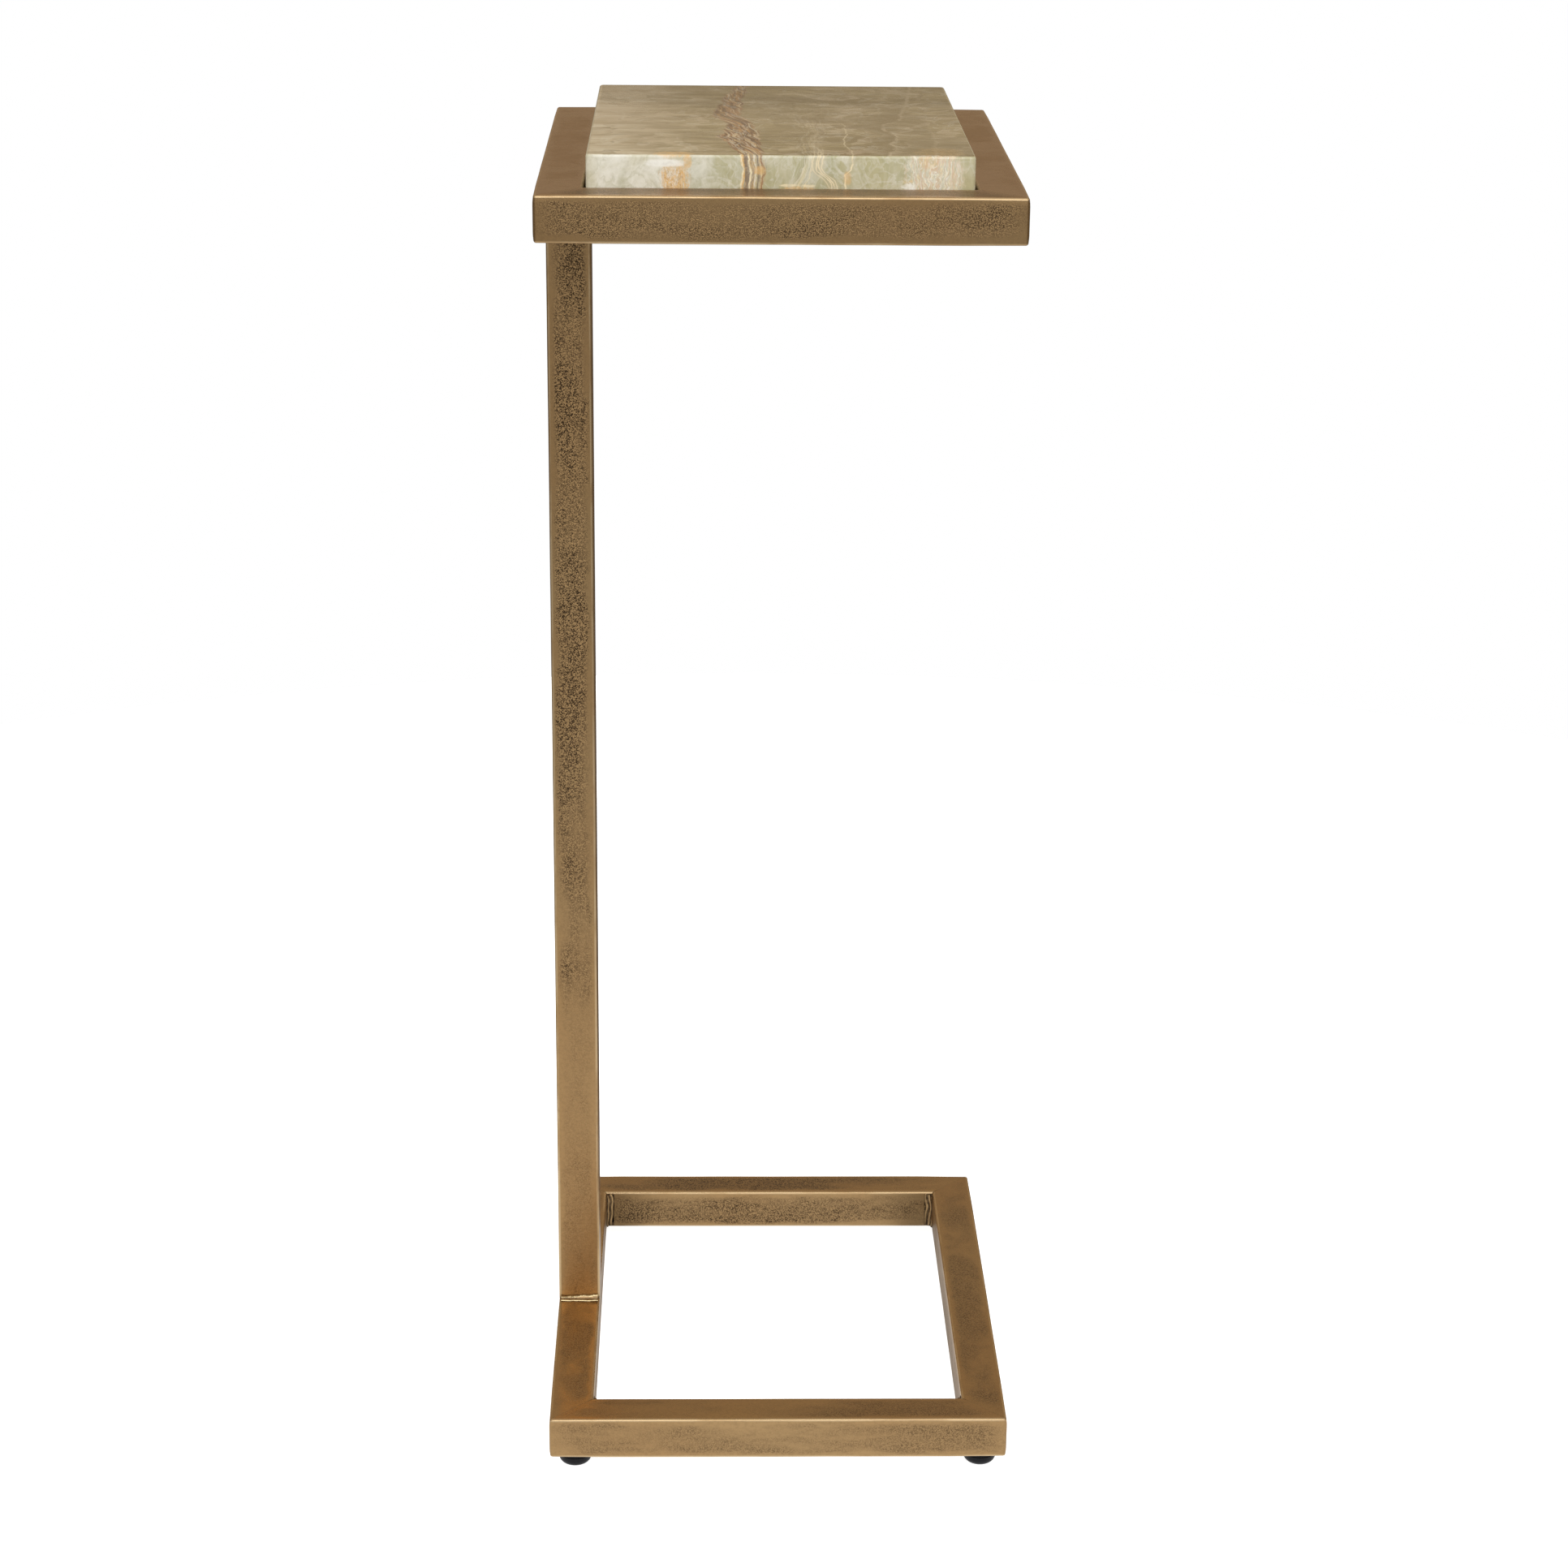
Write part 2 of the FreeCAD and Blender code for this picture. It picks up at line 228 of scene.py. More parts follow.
BRASS_CLEAN = (0.420, 0.272, 0.128)
BRASS_WARM = (0.400, 0.246, 0.110)
# The arris colour: part burnish, part painted highlight
BRASS_EDGE_BURNISH_AND_HIGHLIGHT = (0.610, 0.450, 0.260)
BRASS_FLECK = (0.560, 0.360, 0.165)
BRASS_AGED = (0.235, 0.150, 0.075)
BRASS_SPOT = (0.062, 0.038, 0.020)
# A painted reflection: the warmer brown given to faces that look up
BRASS_PAINTED_TOP_REFLECTION = (0.395, 0.210, 0.076)
# A painted highlight on the weld beads' ridges
WELD_HIGHLIGHT = (0.680, 0.560, 0.330)

# Where the patina lies: away from the arrises and from the ends, its rim swaying to and fro
PATINA_EDGE = (0.4 * MM, 4.0 * MM)
PATINA_END = (1.0 * MM, 12.0 * MM)
PATINA_SWAY = 7.0 * MM
# How softly the column's painted-light stretch of height fades in and out
PAINTED_LIGHT_FADE = 18.0 * MM
# Width of the bright arris band, part burnish and part painted highlight
BURNISH_AND_HIGHLIGHT_WIDTH = 0.25 * MM
WAVE_HEIGHT, MARK_HEIGHT = 0.35 * MM, 0.08 * MM


def aged_area(g, edge, patch, spread, cover, painted_light_stretch):
    """How much patina a place has: most along the middle of a face, little at its arrises and ends, and less
    in a stretch of height painted lighter as painted light.
    """
    sway = g.times(g.minus(patch, 0.5), PATINA_SWAY)
    middle = g.ramp(g.plus(edge, sway), *PATINA_EDGE)
    away = g.ramp(g.attribute("run"), *PATINA_END, 0.30, 1.0)
    aged = g.times(g.times(middle, away), g.ramp(spread, 0.40 - cover, 0.60 - cover))
    # A stretch of height with less patina and fewer marks: painted light where more light falls.
    if painted_light_stretch:
        level = g.axes()[2]
        window = g.ramp(level, painted_light_stretch[0] - PAINTED_LIGHT_FADE, painted_light_stretch[0] + PAINTED_LIGHT_FADE)
        window = g.times(window, g.fall(level, painted_light_stretch[1] - PAINTED_LIGHT_FADE, painted_light_stretch[1] + PAINTED_LIGHT_FADE))
        aged = g.times(aged, g.ramp(window, 0.0, 1.0, 1.0, 0.30))
    return aged


def brass(name, marks, stain, cover, shift, stretch=(1.0, 1.0, 1.0), brown=0.15, painted_light_stretch=None):
    """Burnished antique brass: bright arrises, part burnish and part painted highlight, a brown patina and
    dark worm marks along a face's middle.

    marks is the strength of the worm marks, stain that of the patina, and cover how far both spread.
    brown is how warm the faces that look up are, a painted reflection, and the last argument a stretch of
    height with few marks and less patina, a painted light where more light falls."""
    material, g = new_material(name)
    edge = g.attribute("edge")
    where = g.place(shift=shift)
    cloud = g.noise(g.place(stretch, shift), 24.0, 3.0, 0.55, 0.4)
    patch = g.noise(g.place(stretch, shift), 85.0, 3.0, 0.6, 0.5)
    drift = g.noise(where, 9.0, 2.0, 0.5)
    grain = g.noise(where, 620.0, 3.0, 0.65)
    worms = g.noise(where, 2050.0, 1.4, 0.50, 0.5)
    waves = g.noise(where, 55.0, 2.0, 0.5)
    flat = g.ramp(g.facing_up(), 0.6, 0.95)
    spread = g.plus(g.times(cloud, 0.6), g.times(patch, 0.4))
    aged = aged_area(g, edge, patch, spread, cover, painted_light_stretch)
    worm = g.fall(worms, 0.35, 0.57)
    fleck = g.times(g.ramp(worms, 0.50, 0.68), aged)
    depth = g.ramp(spread, 0.41, 0.65, 0.28, 1.25)
    dark = g.times(g.times(worm, g.times(aged, depth)), marks, clamp=True)
    colour = g.mix(g.ramp(drift, 0.35, 0.65), BRASS_CLEAN, BRASS_WARM)
    # Painted reflection: faces that look up are tinted a warmer brown.
    colour = g.mix(g.times(flat, brown), colour, BRASS_PAINTED_TOP_REFLECTION)
    colour = g.mix(g.times(g.ramp(grain, 0.40, 0.72), 0.30), colour, BRASS_AGED)
    colour = g.mix(g.times(aged, stain, clamp=True), colour, BRASS_AGED)
    colour = g.mix(g.times(fleck, marks * 0.45), colour, BRASS_FLECK)
    colour = g.mix(dark, colour, BRASS_SPOT)
    # Part burnish, part painted highlight: a bright band along each arris.
    burnish_and_highlight = g.times(g.fall(edge, 0.0, BURNISH_AND_HIGHLIGHT_WIDTH), g.ramp(patch, 0.34, 0.58, 0.20, 0.75))
    colour = g.mix(burnish_and_highlight, colour, BRASS_EDGE_BURNISH_AND_HIGHLIGHT)
    rough = g.plus(g.blend_value(aged, 0.27, 0.36), g.times(grain, 0.08))
    rough = g.minus(rough, g.times(flat, 0.07))
    height = g.plus(g.times(grain, 0.3), g.minus(fleck, dark))
    normal = g.bump(waves, WAVE_HEIGHT, 0.30)
    normal = g.bump(height, MARK_HEIGHT, 0.5, normal)
    g.shade(Base_Color=colour, Metallic=1.0, Roughness=rough, Normal=normal)
    return material


def weld_brass(name, hollow, ridge):
    """The same finish on the welds: dark in the hollows, with a painted highlight on the ridges."""
    material, g = new_material(name)
    grain = g.noise(g.place(), 700.0, 3.0, 0.6)
    # On the welds the edge attribute holds their shine: ridges get a painted highlight.
    colour = g.mix(g.ramp(g.attribute("edge"), 0.25, 0.85), hollow, ridge)
    colour = g.mix(g.times(g.ramp(grain, 0.42, 0.70), 0.55), colour, BRASS_AGED)
    normal = g.bump(grain, 0.15 * MM, 0.7)
    g.shade(Base_Color=colour, Metallic=1.0, Roughness=0.27, Normal=normal)
    return material


# Colours of the onyx
DARK = (0.180, 0.139, 0.062)
TAUPE = (0.425, 0.345, 0.218)
BUFF = (0.365, 0.297, 0.158)
SAND = (0.510, 0.424, 0.285)
FAWN = (0.600, 0.518, 0.372)
GREEN = (0.432, 0.392, 0.232)
MOSS = (0.370, 0.350, 0.205)
PALE = (0.640, 0.610, 0.500)
MILK = (0.780, 0.760, 0.690)
CREAM = (0.780, 0.670, 0.440)
ORANGE = (0.660, 0.400, 0.145)
BLUSH = (0.310, 0.142, 0.062)
ROSE = (0.580, 0.430, 0.300)
UMBER = (0.085, 0.040, 0.020)
RUST = (0.260, 0.135, 0.066)
GREY = (0.190, 0.142, 0.100)

# Paths of the veins in millimetres: (distance back from the front arris, place along the width) on the
# top, and (distance down from it, place along the width) on the front. The front's paths end at
# FRONT_DEPTH, and a place lies between -CURVE_REACH and CURVE_REACH
FRONT_DEPTH = 15
CURVE_REACH = 100.0
RUST_TOP = (
    (0, -15.5), (24, -17.2), (50, -19.8), (75, -21.0), (90, -21.5),
    (112, -23.8), (140, -24.2), (172, -21.8), (206, -20.0),
)
RUST_TOP_WIDTH = (
    (0, 4.2), (24, 6.3), (50, 8.8), (70, 7.0), (90, 5.4), (115, 6.2), (140, 5.4), (172, 3.2), (206, 1.4),
)
RUST_FRONT = ((0, -15.5), (3, -15.2), (6, -14.6), (10, -14.8), (FRONT_DEPTH, -15.4))
CREAM_TOP = ((0, 8.5), (20, 8.0), (45, 9.5), (70, 12.0), (100, 10.0), (130, 14.0), (206, 6.0))
CREAM_TOP_WIDTH = ((0, 5.0), (45, 6.0), (80, 9.0), (110, 12.0), (150, 6.0), (206, 2.0))
CREAM_FRONT = ((0, 8.5), (4, 8.0), (8, 7.0), (12, 5.0), (FRONT_DEPTH, 4.0))
THREAD_TOP = (
    (0, 25.6), (11, 25.9), (25, 23.6), (39, 23.4), (60, 25.4),
    (83, 25.2), (96, 22.0), (110, 20.0), (140, 10.0), (206, 0.0),
)
THREAD_FRONT = ((0, 25.6), (5.5, 25.1), (8, 22.8), (13, 23.1), (FRONT_DEPTH, 23.0))
BRANCH_TOP = ((0, 12.5), (30, 13.5), (70, 16.0), (206, 20.0))
BRANCH_FRONT = ((0, 12.5), (4, 11.6), (6.5, 12.6), (9.5, 16.4), (13, 18.4), (FRONT_DEPTH, 18.6))
CREST_TOP = (
    (0, 41.0), (8, 41.6), (18, 44.6), (30, 43.5), (52, 46.4),
    (66, 43.8), (82, 42.6), (98, 48.5), (120, 52.0), (206, 60.0),
)
FAR_TOP = ((0, 60.0), (60, 62.0), (110, 60.5), (125, 55.0), (150, 60.0), (206, 64.0))


class Onyx:
    """Polished onyx. Its veins are leaning sheets, so each runs on from the top over the front arris."""

    def __init__(self, slab_low, slab_high):
        self.material, self.g = new_material("onyx")
        g = self.g
        self.x, y, z = g.axes()
        self.back = g.minus(y, slab_low[1])
        self.down = g.minus(slab_high[2], z)
        self.flat = g.ramp(g.facing_up(), 0.80, 0.97)
        self.span = slab_high[1] - slab_low[1]
        self.along = g.plus(self.back, self.down)
        self.grain = g.noise(g.place(), 420.0, 4.0, 0.65, 0.6)
        self.colour = None

    def curve(self, value, points, span):
        """A smooth line in metres through points in millimetres. Points past the span are left out."""
        node = self.g.add("FloatCurve")
        line = node.mapping.curves[0]
        node.mapping.use_clip = True
        marks = [(at * MM / span, (to + CURVE_REACH) / (2 * CURVE_REACH)) for at, to in points]
        marks = [(at, to) for at, to in marks if at <= 1.0]
        line.points[0].location = marks[0]
        line.points[-1].location = marks[-1]
        for place in marks[1:-1]:
            line.points.new(*place)
        for point in line.points:
            point.handle_type = "AUTO_CLAMPED"
        node.mapping.update()
        self.g.feed(node.inputs["Value"], self.g.math("DIVIDE", value, span, clamp=True))
        return self.g.minus(self.g.times(node.outputs[0], 2 * CURVE_REACH * MM), CURVE_REACH * MM)

    def path(self, top, front):
        """Where a vein's middle lies along the width."""
        on_top = self.curve(self.back, top, self.span)
        on_front = self.curve(self.down, front, FRONT_DEPTH * MM)
        return self.g.plus(on_top, self.g.minus(on_front, front[0][1] * MM))

    def aside(self, path, wobble, scale, phase):
        """Distance from a vein's middle, made ragged by noise."""
        g = self.g
        ragged = g.noise(g.place((0.8, 1.0, 1.0), (phase, 0.0, 0.0)), scale, 4.0, 0.62, 0.4)
        shift = g.times(g.minus(ragged, 0.5), wobble)
        return g.plus(g.minus(self.x, path), shift)

    def sheet(self, aside, half, soft):
        """1 in the middle of a vein, fading off past its half width."""
        gap = self.g.absolute(aside)
        return self.g.fall(gap, half, self.g.plus(half, soft))

    def fibres(self, aside, across, along, phase, width):
        """Fine lines that follow a vein's run."""
        g = self.g
        where = g.out("CombineXYZ", {"X": aside, "Y": g.times(self.along, along), "Z": phase})
        wave = g.noise(where, across, 3.0, 0.55, 0.5)
        return g.ramp(g.absolute(g.minus(wave, 0.5)), 0.0, width, 1.0, 0.0)

    def spot(self, x, depth, half_x, half_depth, wobble, phase, grainy):
        """A ragged patch, 1 inside. depth counts down the front, and back over the top when negative."""
        g = self.g
        ragged = g.noise(g.place(shift=(phase, 0.0, 0.0)), 260.0, 5.0, 0.7, 0.7)
        shift = g.times(g.minus(ragged, 0.5), wobble * 3.0)
        run = g.minus(self.down, self.back)
        dx = g.math("DIVIDE", g.minus(self.x, x * MM), half_x * MM)
        dz = g.math("DIVIDE", g.minus(run, depth * MM), half_depth * MM)
        round_off = g.plus(g.math("POWER", g.absolute(dx), 2.6), g.math("POWER", g.absolute(dz), 2.6))
        mask = g.fall(g.plus(round_off, shift), 0.15, 1.35)
        return g.times(mask, g.ramp(self.grain, 0.36, 0.60, 1.0 - grainy, 1.0))

    def shelf(self, wave, edge, soft):
        """A line that is sharp on one side and fades off on the other, as the bands in onyx do."""
        rise = self.g.ramp(wave, 0.5, 0.5 + edge)
        return self.g.times(rise, self.g.fall(wave, 0.5 + edge, 0.5 + soft))

    def paint(self, mask, tint, strength):
        self.colour = self.g.mix(self.g.times(mask, strength, clamp=True), self.colour, tint)

    def paint_spots(self, rows):
        """Paints patches. A row holds what spot takes, then a tint and its strength."""
        for *place, tint, strength in rows:
            self.paint(self.spot(*place), tint, strength)

    def paint_fibres(self, mask, aside, rows):
        """Paints fine lines inside a mask. A row is (across, along, phase, width, tint, strength)."""
        for *weave, tint, strength in rows:
            self.paint(self.g.times(mask, self.fibres(aside, *weave)), tint, strength)

    def top_clouds(self):
        """Bands and feathered wisps along the width, paler toward the left."""
        g = self.g
        left = g.fall(self.x, -84.0 * MM, -30.0 * MM)
        bands = g.noise(g.place((0.30, 1.0, 1.2), (0.0, 0.3, 0.0)), 34.0, 5.0, 0.60, 0.9)
        streaks = g.noise(g.place((0.10, 0.9, 1.0)), 170.0, 4.0, 0.62, 0.4)
        lumps = g.noise(g.place((0.6, 0.9, 1.0), (0.2, 0.8, 0.0)), 24.0, 4.0, 0.60, 1.4)
        tone = g.plus(g.times(bands, 0.38), g.times(streaks, 0.34))
        tone = g.plus(tone, g.times(lumps, 0.28))
        low = g.mix(left, DARK, TAUPE)
        high = g.mix(left, BUFF, FAWN)
        top = g.mix(g.ramp(tone, 0.40, 0.60), low, high)
        for scale, across, warp_by, tint, strength, shift in (
            (20.0, 0.75, 0.9, SAND, 0.62, 0.2),
            (34.0, 0.80, 1.0, SAND, 0.50, 1.2),
            (24.0, 0.70, 1.0, DARK, 0.50, 2.2),
            (60.0, 0.45, 0.8, DARK, 0.28, 3.2),
            (46.0, 0.90, 1.4, PALE, 0.24, 4.2),
        ):
            wave = g.noise(g.place((across, 0.8, 1.0), (shift, 0.8, 0.0)), scale, 4.0, 0.50, warp_by)
            line = g.times(self.shelf(wave, 0.006, 0.085), g.ramp(lumps, 0.38, 0.54, 0.30, 1.0))
            top = g.mix(g.times(line, strength), top, tint)
        return top

    def side_clouds(self):
        """Milky and green clouds with faint upright stripes and soft flaws."""
        g = self.g
        milk = g.noise(g.place((1.0, 1.0, 0.8), (0.3, 0.1, 0.0)), 40.0, 6.0, 0.60, 1.0)
        stripes = g.noise(g.place((1.0, 1.0, 0.10), (0.0, 0.4, 0.1)), 190.0, 5.0, 0.6, 0.4)
        moss = g.noise(g.place((1.0, 1.0, 0.6), (0.9, 0.1, 0.4)), 50.0, 4.0, 0.55, 0.6)
        side = g.mix(g.ramp(moss, 0.40, 0.62), GREEN, MOSS)
        side = g.mix(g.times(g.ramp(milk, 0.46, 0.68), 0.38), side, PALE)
        side = g.mix(g.times(g.ramp(stripes, 0.46, 0.66), 0.28), side, PALE)
        milky = g.ramp(self.x, -26.0 * MM, -36.0 * MM)
        milky = g.times(milky, g.ramp(self.x, -83.0 * MM, -77.0 * MM, 0.25, 1.0))
        side = g.mix(g.times(milky, g.ramp(milk, 0.34, 0.62, 0.18, 0.72)), side, MILK)
        for scale, tint, strength, edge, soft, shift in (
            (60.0, PALE, 0.30, 0.020, 0.12, 0.4),
            (85.0, MOSS, 0.30, 0.012, 0.10, 1.4),
            (120.0, MILK, 0.16, 0.010, 0.08, 2.4),
            (46.0, MILK, 0.20, 0.008, 0.05, 3.4),
        ):
            flaw = g.noise(g.place((1.0, 1.0, 0.8), (shift, 0.1, 0.0)), scale, 4.0, 0.55, 0.9)
            side = g.mix(g.times(self.shelf(flaw, edge, soft), strength), side, tint)
        return side

    def rust_vein(self):
        """A braided vein: ragged edges, with slanting threads of rust and cream inside it."""
        g = self.g
        zigzag = g.noise(g.place((0.1, 1.0, 1.0), (0.7, 0.0, 0.0)), 34.0, 2.0, 0.5)
        swing = g.ramp(self.back, 6.0 * MM, 40.0 * MM, 0.0, 16.0 * MM)
        middle = g.plus(self.path(RUST_TOP, RUST_FRONT), g.times(g.minus(zigzag, 0.5), swing))
        aside = self.aside(middle, 7.0 * MM, 110.0, 0.2)
        half = self.curve(self.back, RUST_TOP_WIDTH, self.span)
        band = self.sheet(aside, g.times(half, 0.78), 2.2 * MM)
        on_top = g.ramp(self.back, 0.0, 6.0 * MM)

        def strength(front, top):
            return g.blend_value(on_top, front, top)

        self.paint(band, BLUSH, strength(0.12, 0.75))
        spread = g.times(g.minus(self.x, middle), g.ramp(self.back, 0.0, 120.0 * MM, 1.0, 0.65))
        slant = g.plus(spread, g.times(self.back, 0.12))
        self.paint_fibres(band, slant, (
            (170.0, 0.07, 0.3, 0.090, UMBER, strength(0.40, 0.85)),
            (230.0, 0.07, 2.1, 0.055, CREAM, strength(0.50, 0.58)),
            (260.0, 0.07, 4.4, 0.070, UMBER, strength(0.45, 0.95)),
            (420.0, 0.07, 6.7, 0.055, ORANGE, strength(0.45, 0.35)),
            (360.0, 0.07, 8.8, 0.040, PALE, strength(0.35, 0.42)),
        ))
        self.rust_strands(middle)
        self.paint_spots([(-12.6, 6.2, 2.2, 2.0, 0.8, 0.4, 0.4, ORANGE, 0.70)])

    def rust_strands(self, middle):
        """Upright strands where the rust vein shows on the front."""
        g = self.g
        front_only = g.fall(self.back, 0.0, 8.0 * MM)
        speckled = g.times(front_only, g.ramp(self.grain, 0.34, 0.56, 0.25, 1.0))
        for offset, width, tint, strength in (
            (-2.9, 0.70, GREY, 0.85), (-4.2, 0.20, ORANGE, 0.85), (-4.8, 0.10, CREAM, 0.9),
            (-1.6, 0.12, CREAM, 0.9), (-0.6, 0.20, GREY, 0.6), (0.5, 0.12, PALE, 0.7),
            (2.0, 0.35, GREY, 0.65), (3.6, 0.15, RUST, 0.8),
        ):
            strand = self.aside(g.plus(middle, offset * MM), 2.6 * MM, 230.0, offset)
            self.paint(g.times(self.sheet(strand, width * MM, 0.5 * MM), speckled), tint, strength)

    def cream_band(self):
        """A bundle of thin wavy threads that leans to the right on the front."""
        g = self.g
        aside = self.aside(self.path(CREAM_TOP, CREAM_FRONT), 6.0 * MM, 60.0, 0.5)
        half = self.curve(self.back, CREAM_TOP_WIDTH, self.span)
        band = self.sheet(aside, g.times(half, 0.4), 5.0 * MM)
        band = g.times(band, g.ramp(self.back, 90.0 * MM, 170.0 * MM, 1.0, 0.25))

        def strength(front, top):
            return g.blend_value(self.flat, front, top)

        self.paint(band, PALE, strength(0.22, 0.0))
        self.paint_fibres(band, aside, (
            (240.0, 0.05, 0.9, 0.04, CREAM, strength(0.55, 0.20)),
            (280.0, 0.05, 3.0, 0.04, DARK, strength(0.36, 0.50)),
            (400.0, 0.05, 5.2, 0.04, PALE, strength(0.45, 0.16)),
        ))
        self.paint_spots((
            (3.5, 13.6, 7.0, 1.0, 1.2, 0.7, 0.8, ORANGE, 0.60),
            (0.0, 12.2, 4.5, 0.5, 1.4, 1.7, 0.5, CREAM, 0.75),
            (7.5, 12.4, 3.5, 0.6, 1.4, 2.9, 0.6, CREAM, 0.75),
        ))

    def threads(self):
        """Single threads that break off here and there, with a soft glow beside them."""
        g = self.g
        gaps = g.noise(g.place((1.0, 0.6, 1.0), (0.4, 0.0, 0.2)), 120.0, 3.0, 0.6)
        broken = g.ramp(gaps, 0.38, 0.52, 0.25, 1.0)
        for top, front, offset, half, reach, strength, phase in (
            (THREAD_TOP, THREAD_FRONT, 0.0, 0.14, 112.0, 0.90, 0.3),
            (BRANCH_TOP, BRANCH_FRONT, 0.0, 0.16, 16.0, 0.95, 0.6),
            (BRANCH_TOP, BRANCH_FRONT, -1.1, 0.08, 30.0, 0.80, 1.6),
            (BRANCH_TOP, BRANCH_FRONT, 1.0, 0.08, 24.0, 0.60, 2.6),
            (BRANCH_TOP, BRANCH_FRONT, -2.6, 0.06, 40.0, 0.55, 3.6),
        ):
            aside = self.aside(g.plus(self.path(top, front), offset * MM), 3.0 * MM, 170.0, phase)
            fade = g.fall(self.back, reach * 0.5 * MM, reach * MM)
            fade = g.times(fade, g.blend_value(self.flat, 1.0, 0.60))
            glow = self.sheet(aside, 0.4 * MM, 1.8 * MM)
            self.paint(g.times(glow, fade), SAND, 0.20)
            line = g.times(self.sheet(aside, half * MM, 0.38 * MM), broken)
            self.paint(g.times(line, fade), CREAM, strength)
        self.paint_spots((
            (23.8, 9.0, 1.7, 3.0, 0.8, 1.1, 0.3, ORANGE, 0.50),
            (27.0, -8.0, 7.0, 10.0, 1.2, 3.1, 0.2, RUST, 0.20),
        ))
        self.crests(broken)

    def crests(self, broken):
        """The dark sides and pale edges of the big clouds on the top."""
        g = self.g
        for top, dark, glint, phase in ((CREST_TOP, 0.75, 0.60, 1.4), (FAR_TOP, 0.40, 0.22, 2.4)):
            start = top[0][1]
            path = self.path(top, ((0, start), (FRONT_DEPTH, start + 1.0)))
            aside = self.aside(path, 8.0 * MM, 60.0, phase)
            layer = g.times(g.ramp(aside, -16.0 * MM, 0.0), g.fall(aside, 0.0, 0.4 * MM))
            layer = g.times(layer, g.ramp(self.back, 90.0 * MM, 150.0 * MM, 1.0, 0.35))
            self.paint(g.times(layer, self.flat), DARK, dark)
            rim = g.times(self.sheet(aside, 0.12 * MM, 1.2 * MM), self.flat)
            self.paint(g.times(rim, broken), SAND, glint)

    def left_patch(self):
        """The orange and white patch near the left of the front."""
        middle = -47.5
        self.paint_spots([(middle, 9.5, 5.4, 7.0, 0.8, 0.9, 0.45, ORANGE, 0.74)])
        inside = self.spot(middle, 10.0, 6.5, 6.5, 0.8, 0.9, 0.0)
        self.paint_fibres(inside, self.g.minus(self.x, middle * MM), (
            (480.0, 0.35, 5.0, 0.05, MILK, 0.45),
            (400.0, 0.30, 8.0, 0.05, ORANGE, 0.8),
            (620.0, 0.40, 3.0, 0.03, RUST, 0.45),
        ))
        self.paint_spots((
            (-42.2, 2.2, 1.8, 3.4, 0.8, 2.9, 0.4, ORANGE, 0.65),
            (-48.0, -3.5, 8.0, 5.0, 1.4, 0.3, 0.6, ORANGE, 0.60),
            (-51.5, 3.4, 8.5, 1.6, 0.5, 1.9, 0.0, MILK, 0.90),
            (-69.0, 9.0, 1.8, 4.5, 1.2, 4.1, 0.4, MOSS, 0.30),
        ))

    def right_patch(self):
        """The striated patch near the right of the front."""
        g = self.g
        comb = self.spot(59.0, 8.0, 12.5, 11.0, 0.7, 1.8, 0.0)
        sway = g.times(g.noise(g.place(), 90.0, 4.0, 0.6, 0.5), 9.0 * MM)
        self.paint(comb, MILK, 0.30)
        self.paint_fibres(comb, g.plus(self.x, sway), (
            (520.0, 0.16, 7.0, 0.06, CREAM, 0.65),
            (420.0, 0.14, 9.0, 0.04, ORANGE, 0.42),
            (640.0, 0.14, 11.0, 0.05, MILK, 0.70),
            (360.0, 0.12, 13.0, 0.045, ROSE, 0.85),
        ))
        self.paint_spots((
            (56.5, 2.5, 4.5, 2.6, 1.0, 5.2, 0.4, ORANGE, 0.28),
            (62.0, -10.0, 10.0, 12.0, 1.2, 2.8, 0.5, ORANGE, 0.26),
            (49.0, 12.8, 3.0, 1.6, 1.4, 0.8, 0.4, MILK, 0.85),
        ))

    def finish(self):
        g = self.g
        self.colour = g.mix(self.flat, self.side_clouds(), self.top_clouds())
        self.rust_vein()
        self.cream_band()
        self.threads()
        self.left_patch()
        self.right_patch()
        fine = g.noise(g.place((0.5, 1.0, 0.5)), 700.0, 4.0, 0.7)
        self.paint(g.ramp(fine, 0.45, 0.75), DARK, 0.14)
        rough = g.ramp(fine, 0.3, 0.7, 0.12, 0.20)
        g.shade(Base_Color=self.colour, Roughness=rough, IOR=1.45, Normal=g.bump(fine, 0.02 * MM, 0.2))
        return self.material


def plain_surface(name, colour, rough, metal=0.0, grain_scale=600.0, ior=1.45):
    """A plain moulded or plated surface with fine grain."""
    material, g = new_material(name)
    grain = g.noise(g.place(), grain_scale, 3.0, 0.6)
    tint = g.mix(g.ramp(grain, 0.4, 0.65), tuple(c * 0.72 for c in colour), colour)
    roughness = g.plus(rough, g.times(grain, 0.12))
    normal = g.bump(grain, 0.03 * MM, 0.4)
    g.shade(Base_Color=tint, Metallic=metal, Roughness=roughness, IOR=ior, Normal=normal)
    return material


# Meshes


def add_object(name, data):
    thing = bpy.data.objects.new(name, data)
    bpy.context.scene.collection.objects.link(thing)
    return thing


def fix_normals(mesh):
    """Turns the faces outward, and leaves the faces with many corners flat."""
    cleaner = bmesh.new()
    cleaner.from_mesh(mesh)
    bmesh.ops.recalc_face_normals(cleaner, faces=cleaner.faces)
    cleaner.to_mesh(mesh)
    cleaner.free()
    for polygon in mesh.polygons:
        polygon.use_smooth = len(polygon.vertices) <= 4


def add_mesh(name, points, faces, attributes=()):
    mesh = bpy.data.meshes.new(name)
    mesh.from_pydata([tuple(p) for p in points], [], faces)
    for label, values in dict(attributes).items():
        layer = mesh.attributes.new(label, "FLOAT", "POINT")
        layer.data.foreach_set("value", np.asarray(values, dtype=np.float32))
    mesh.validate()
    mesh.update()
    fix_normals(mesh)
    return add_object(name, mesh)


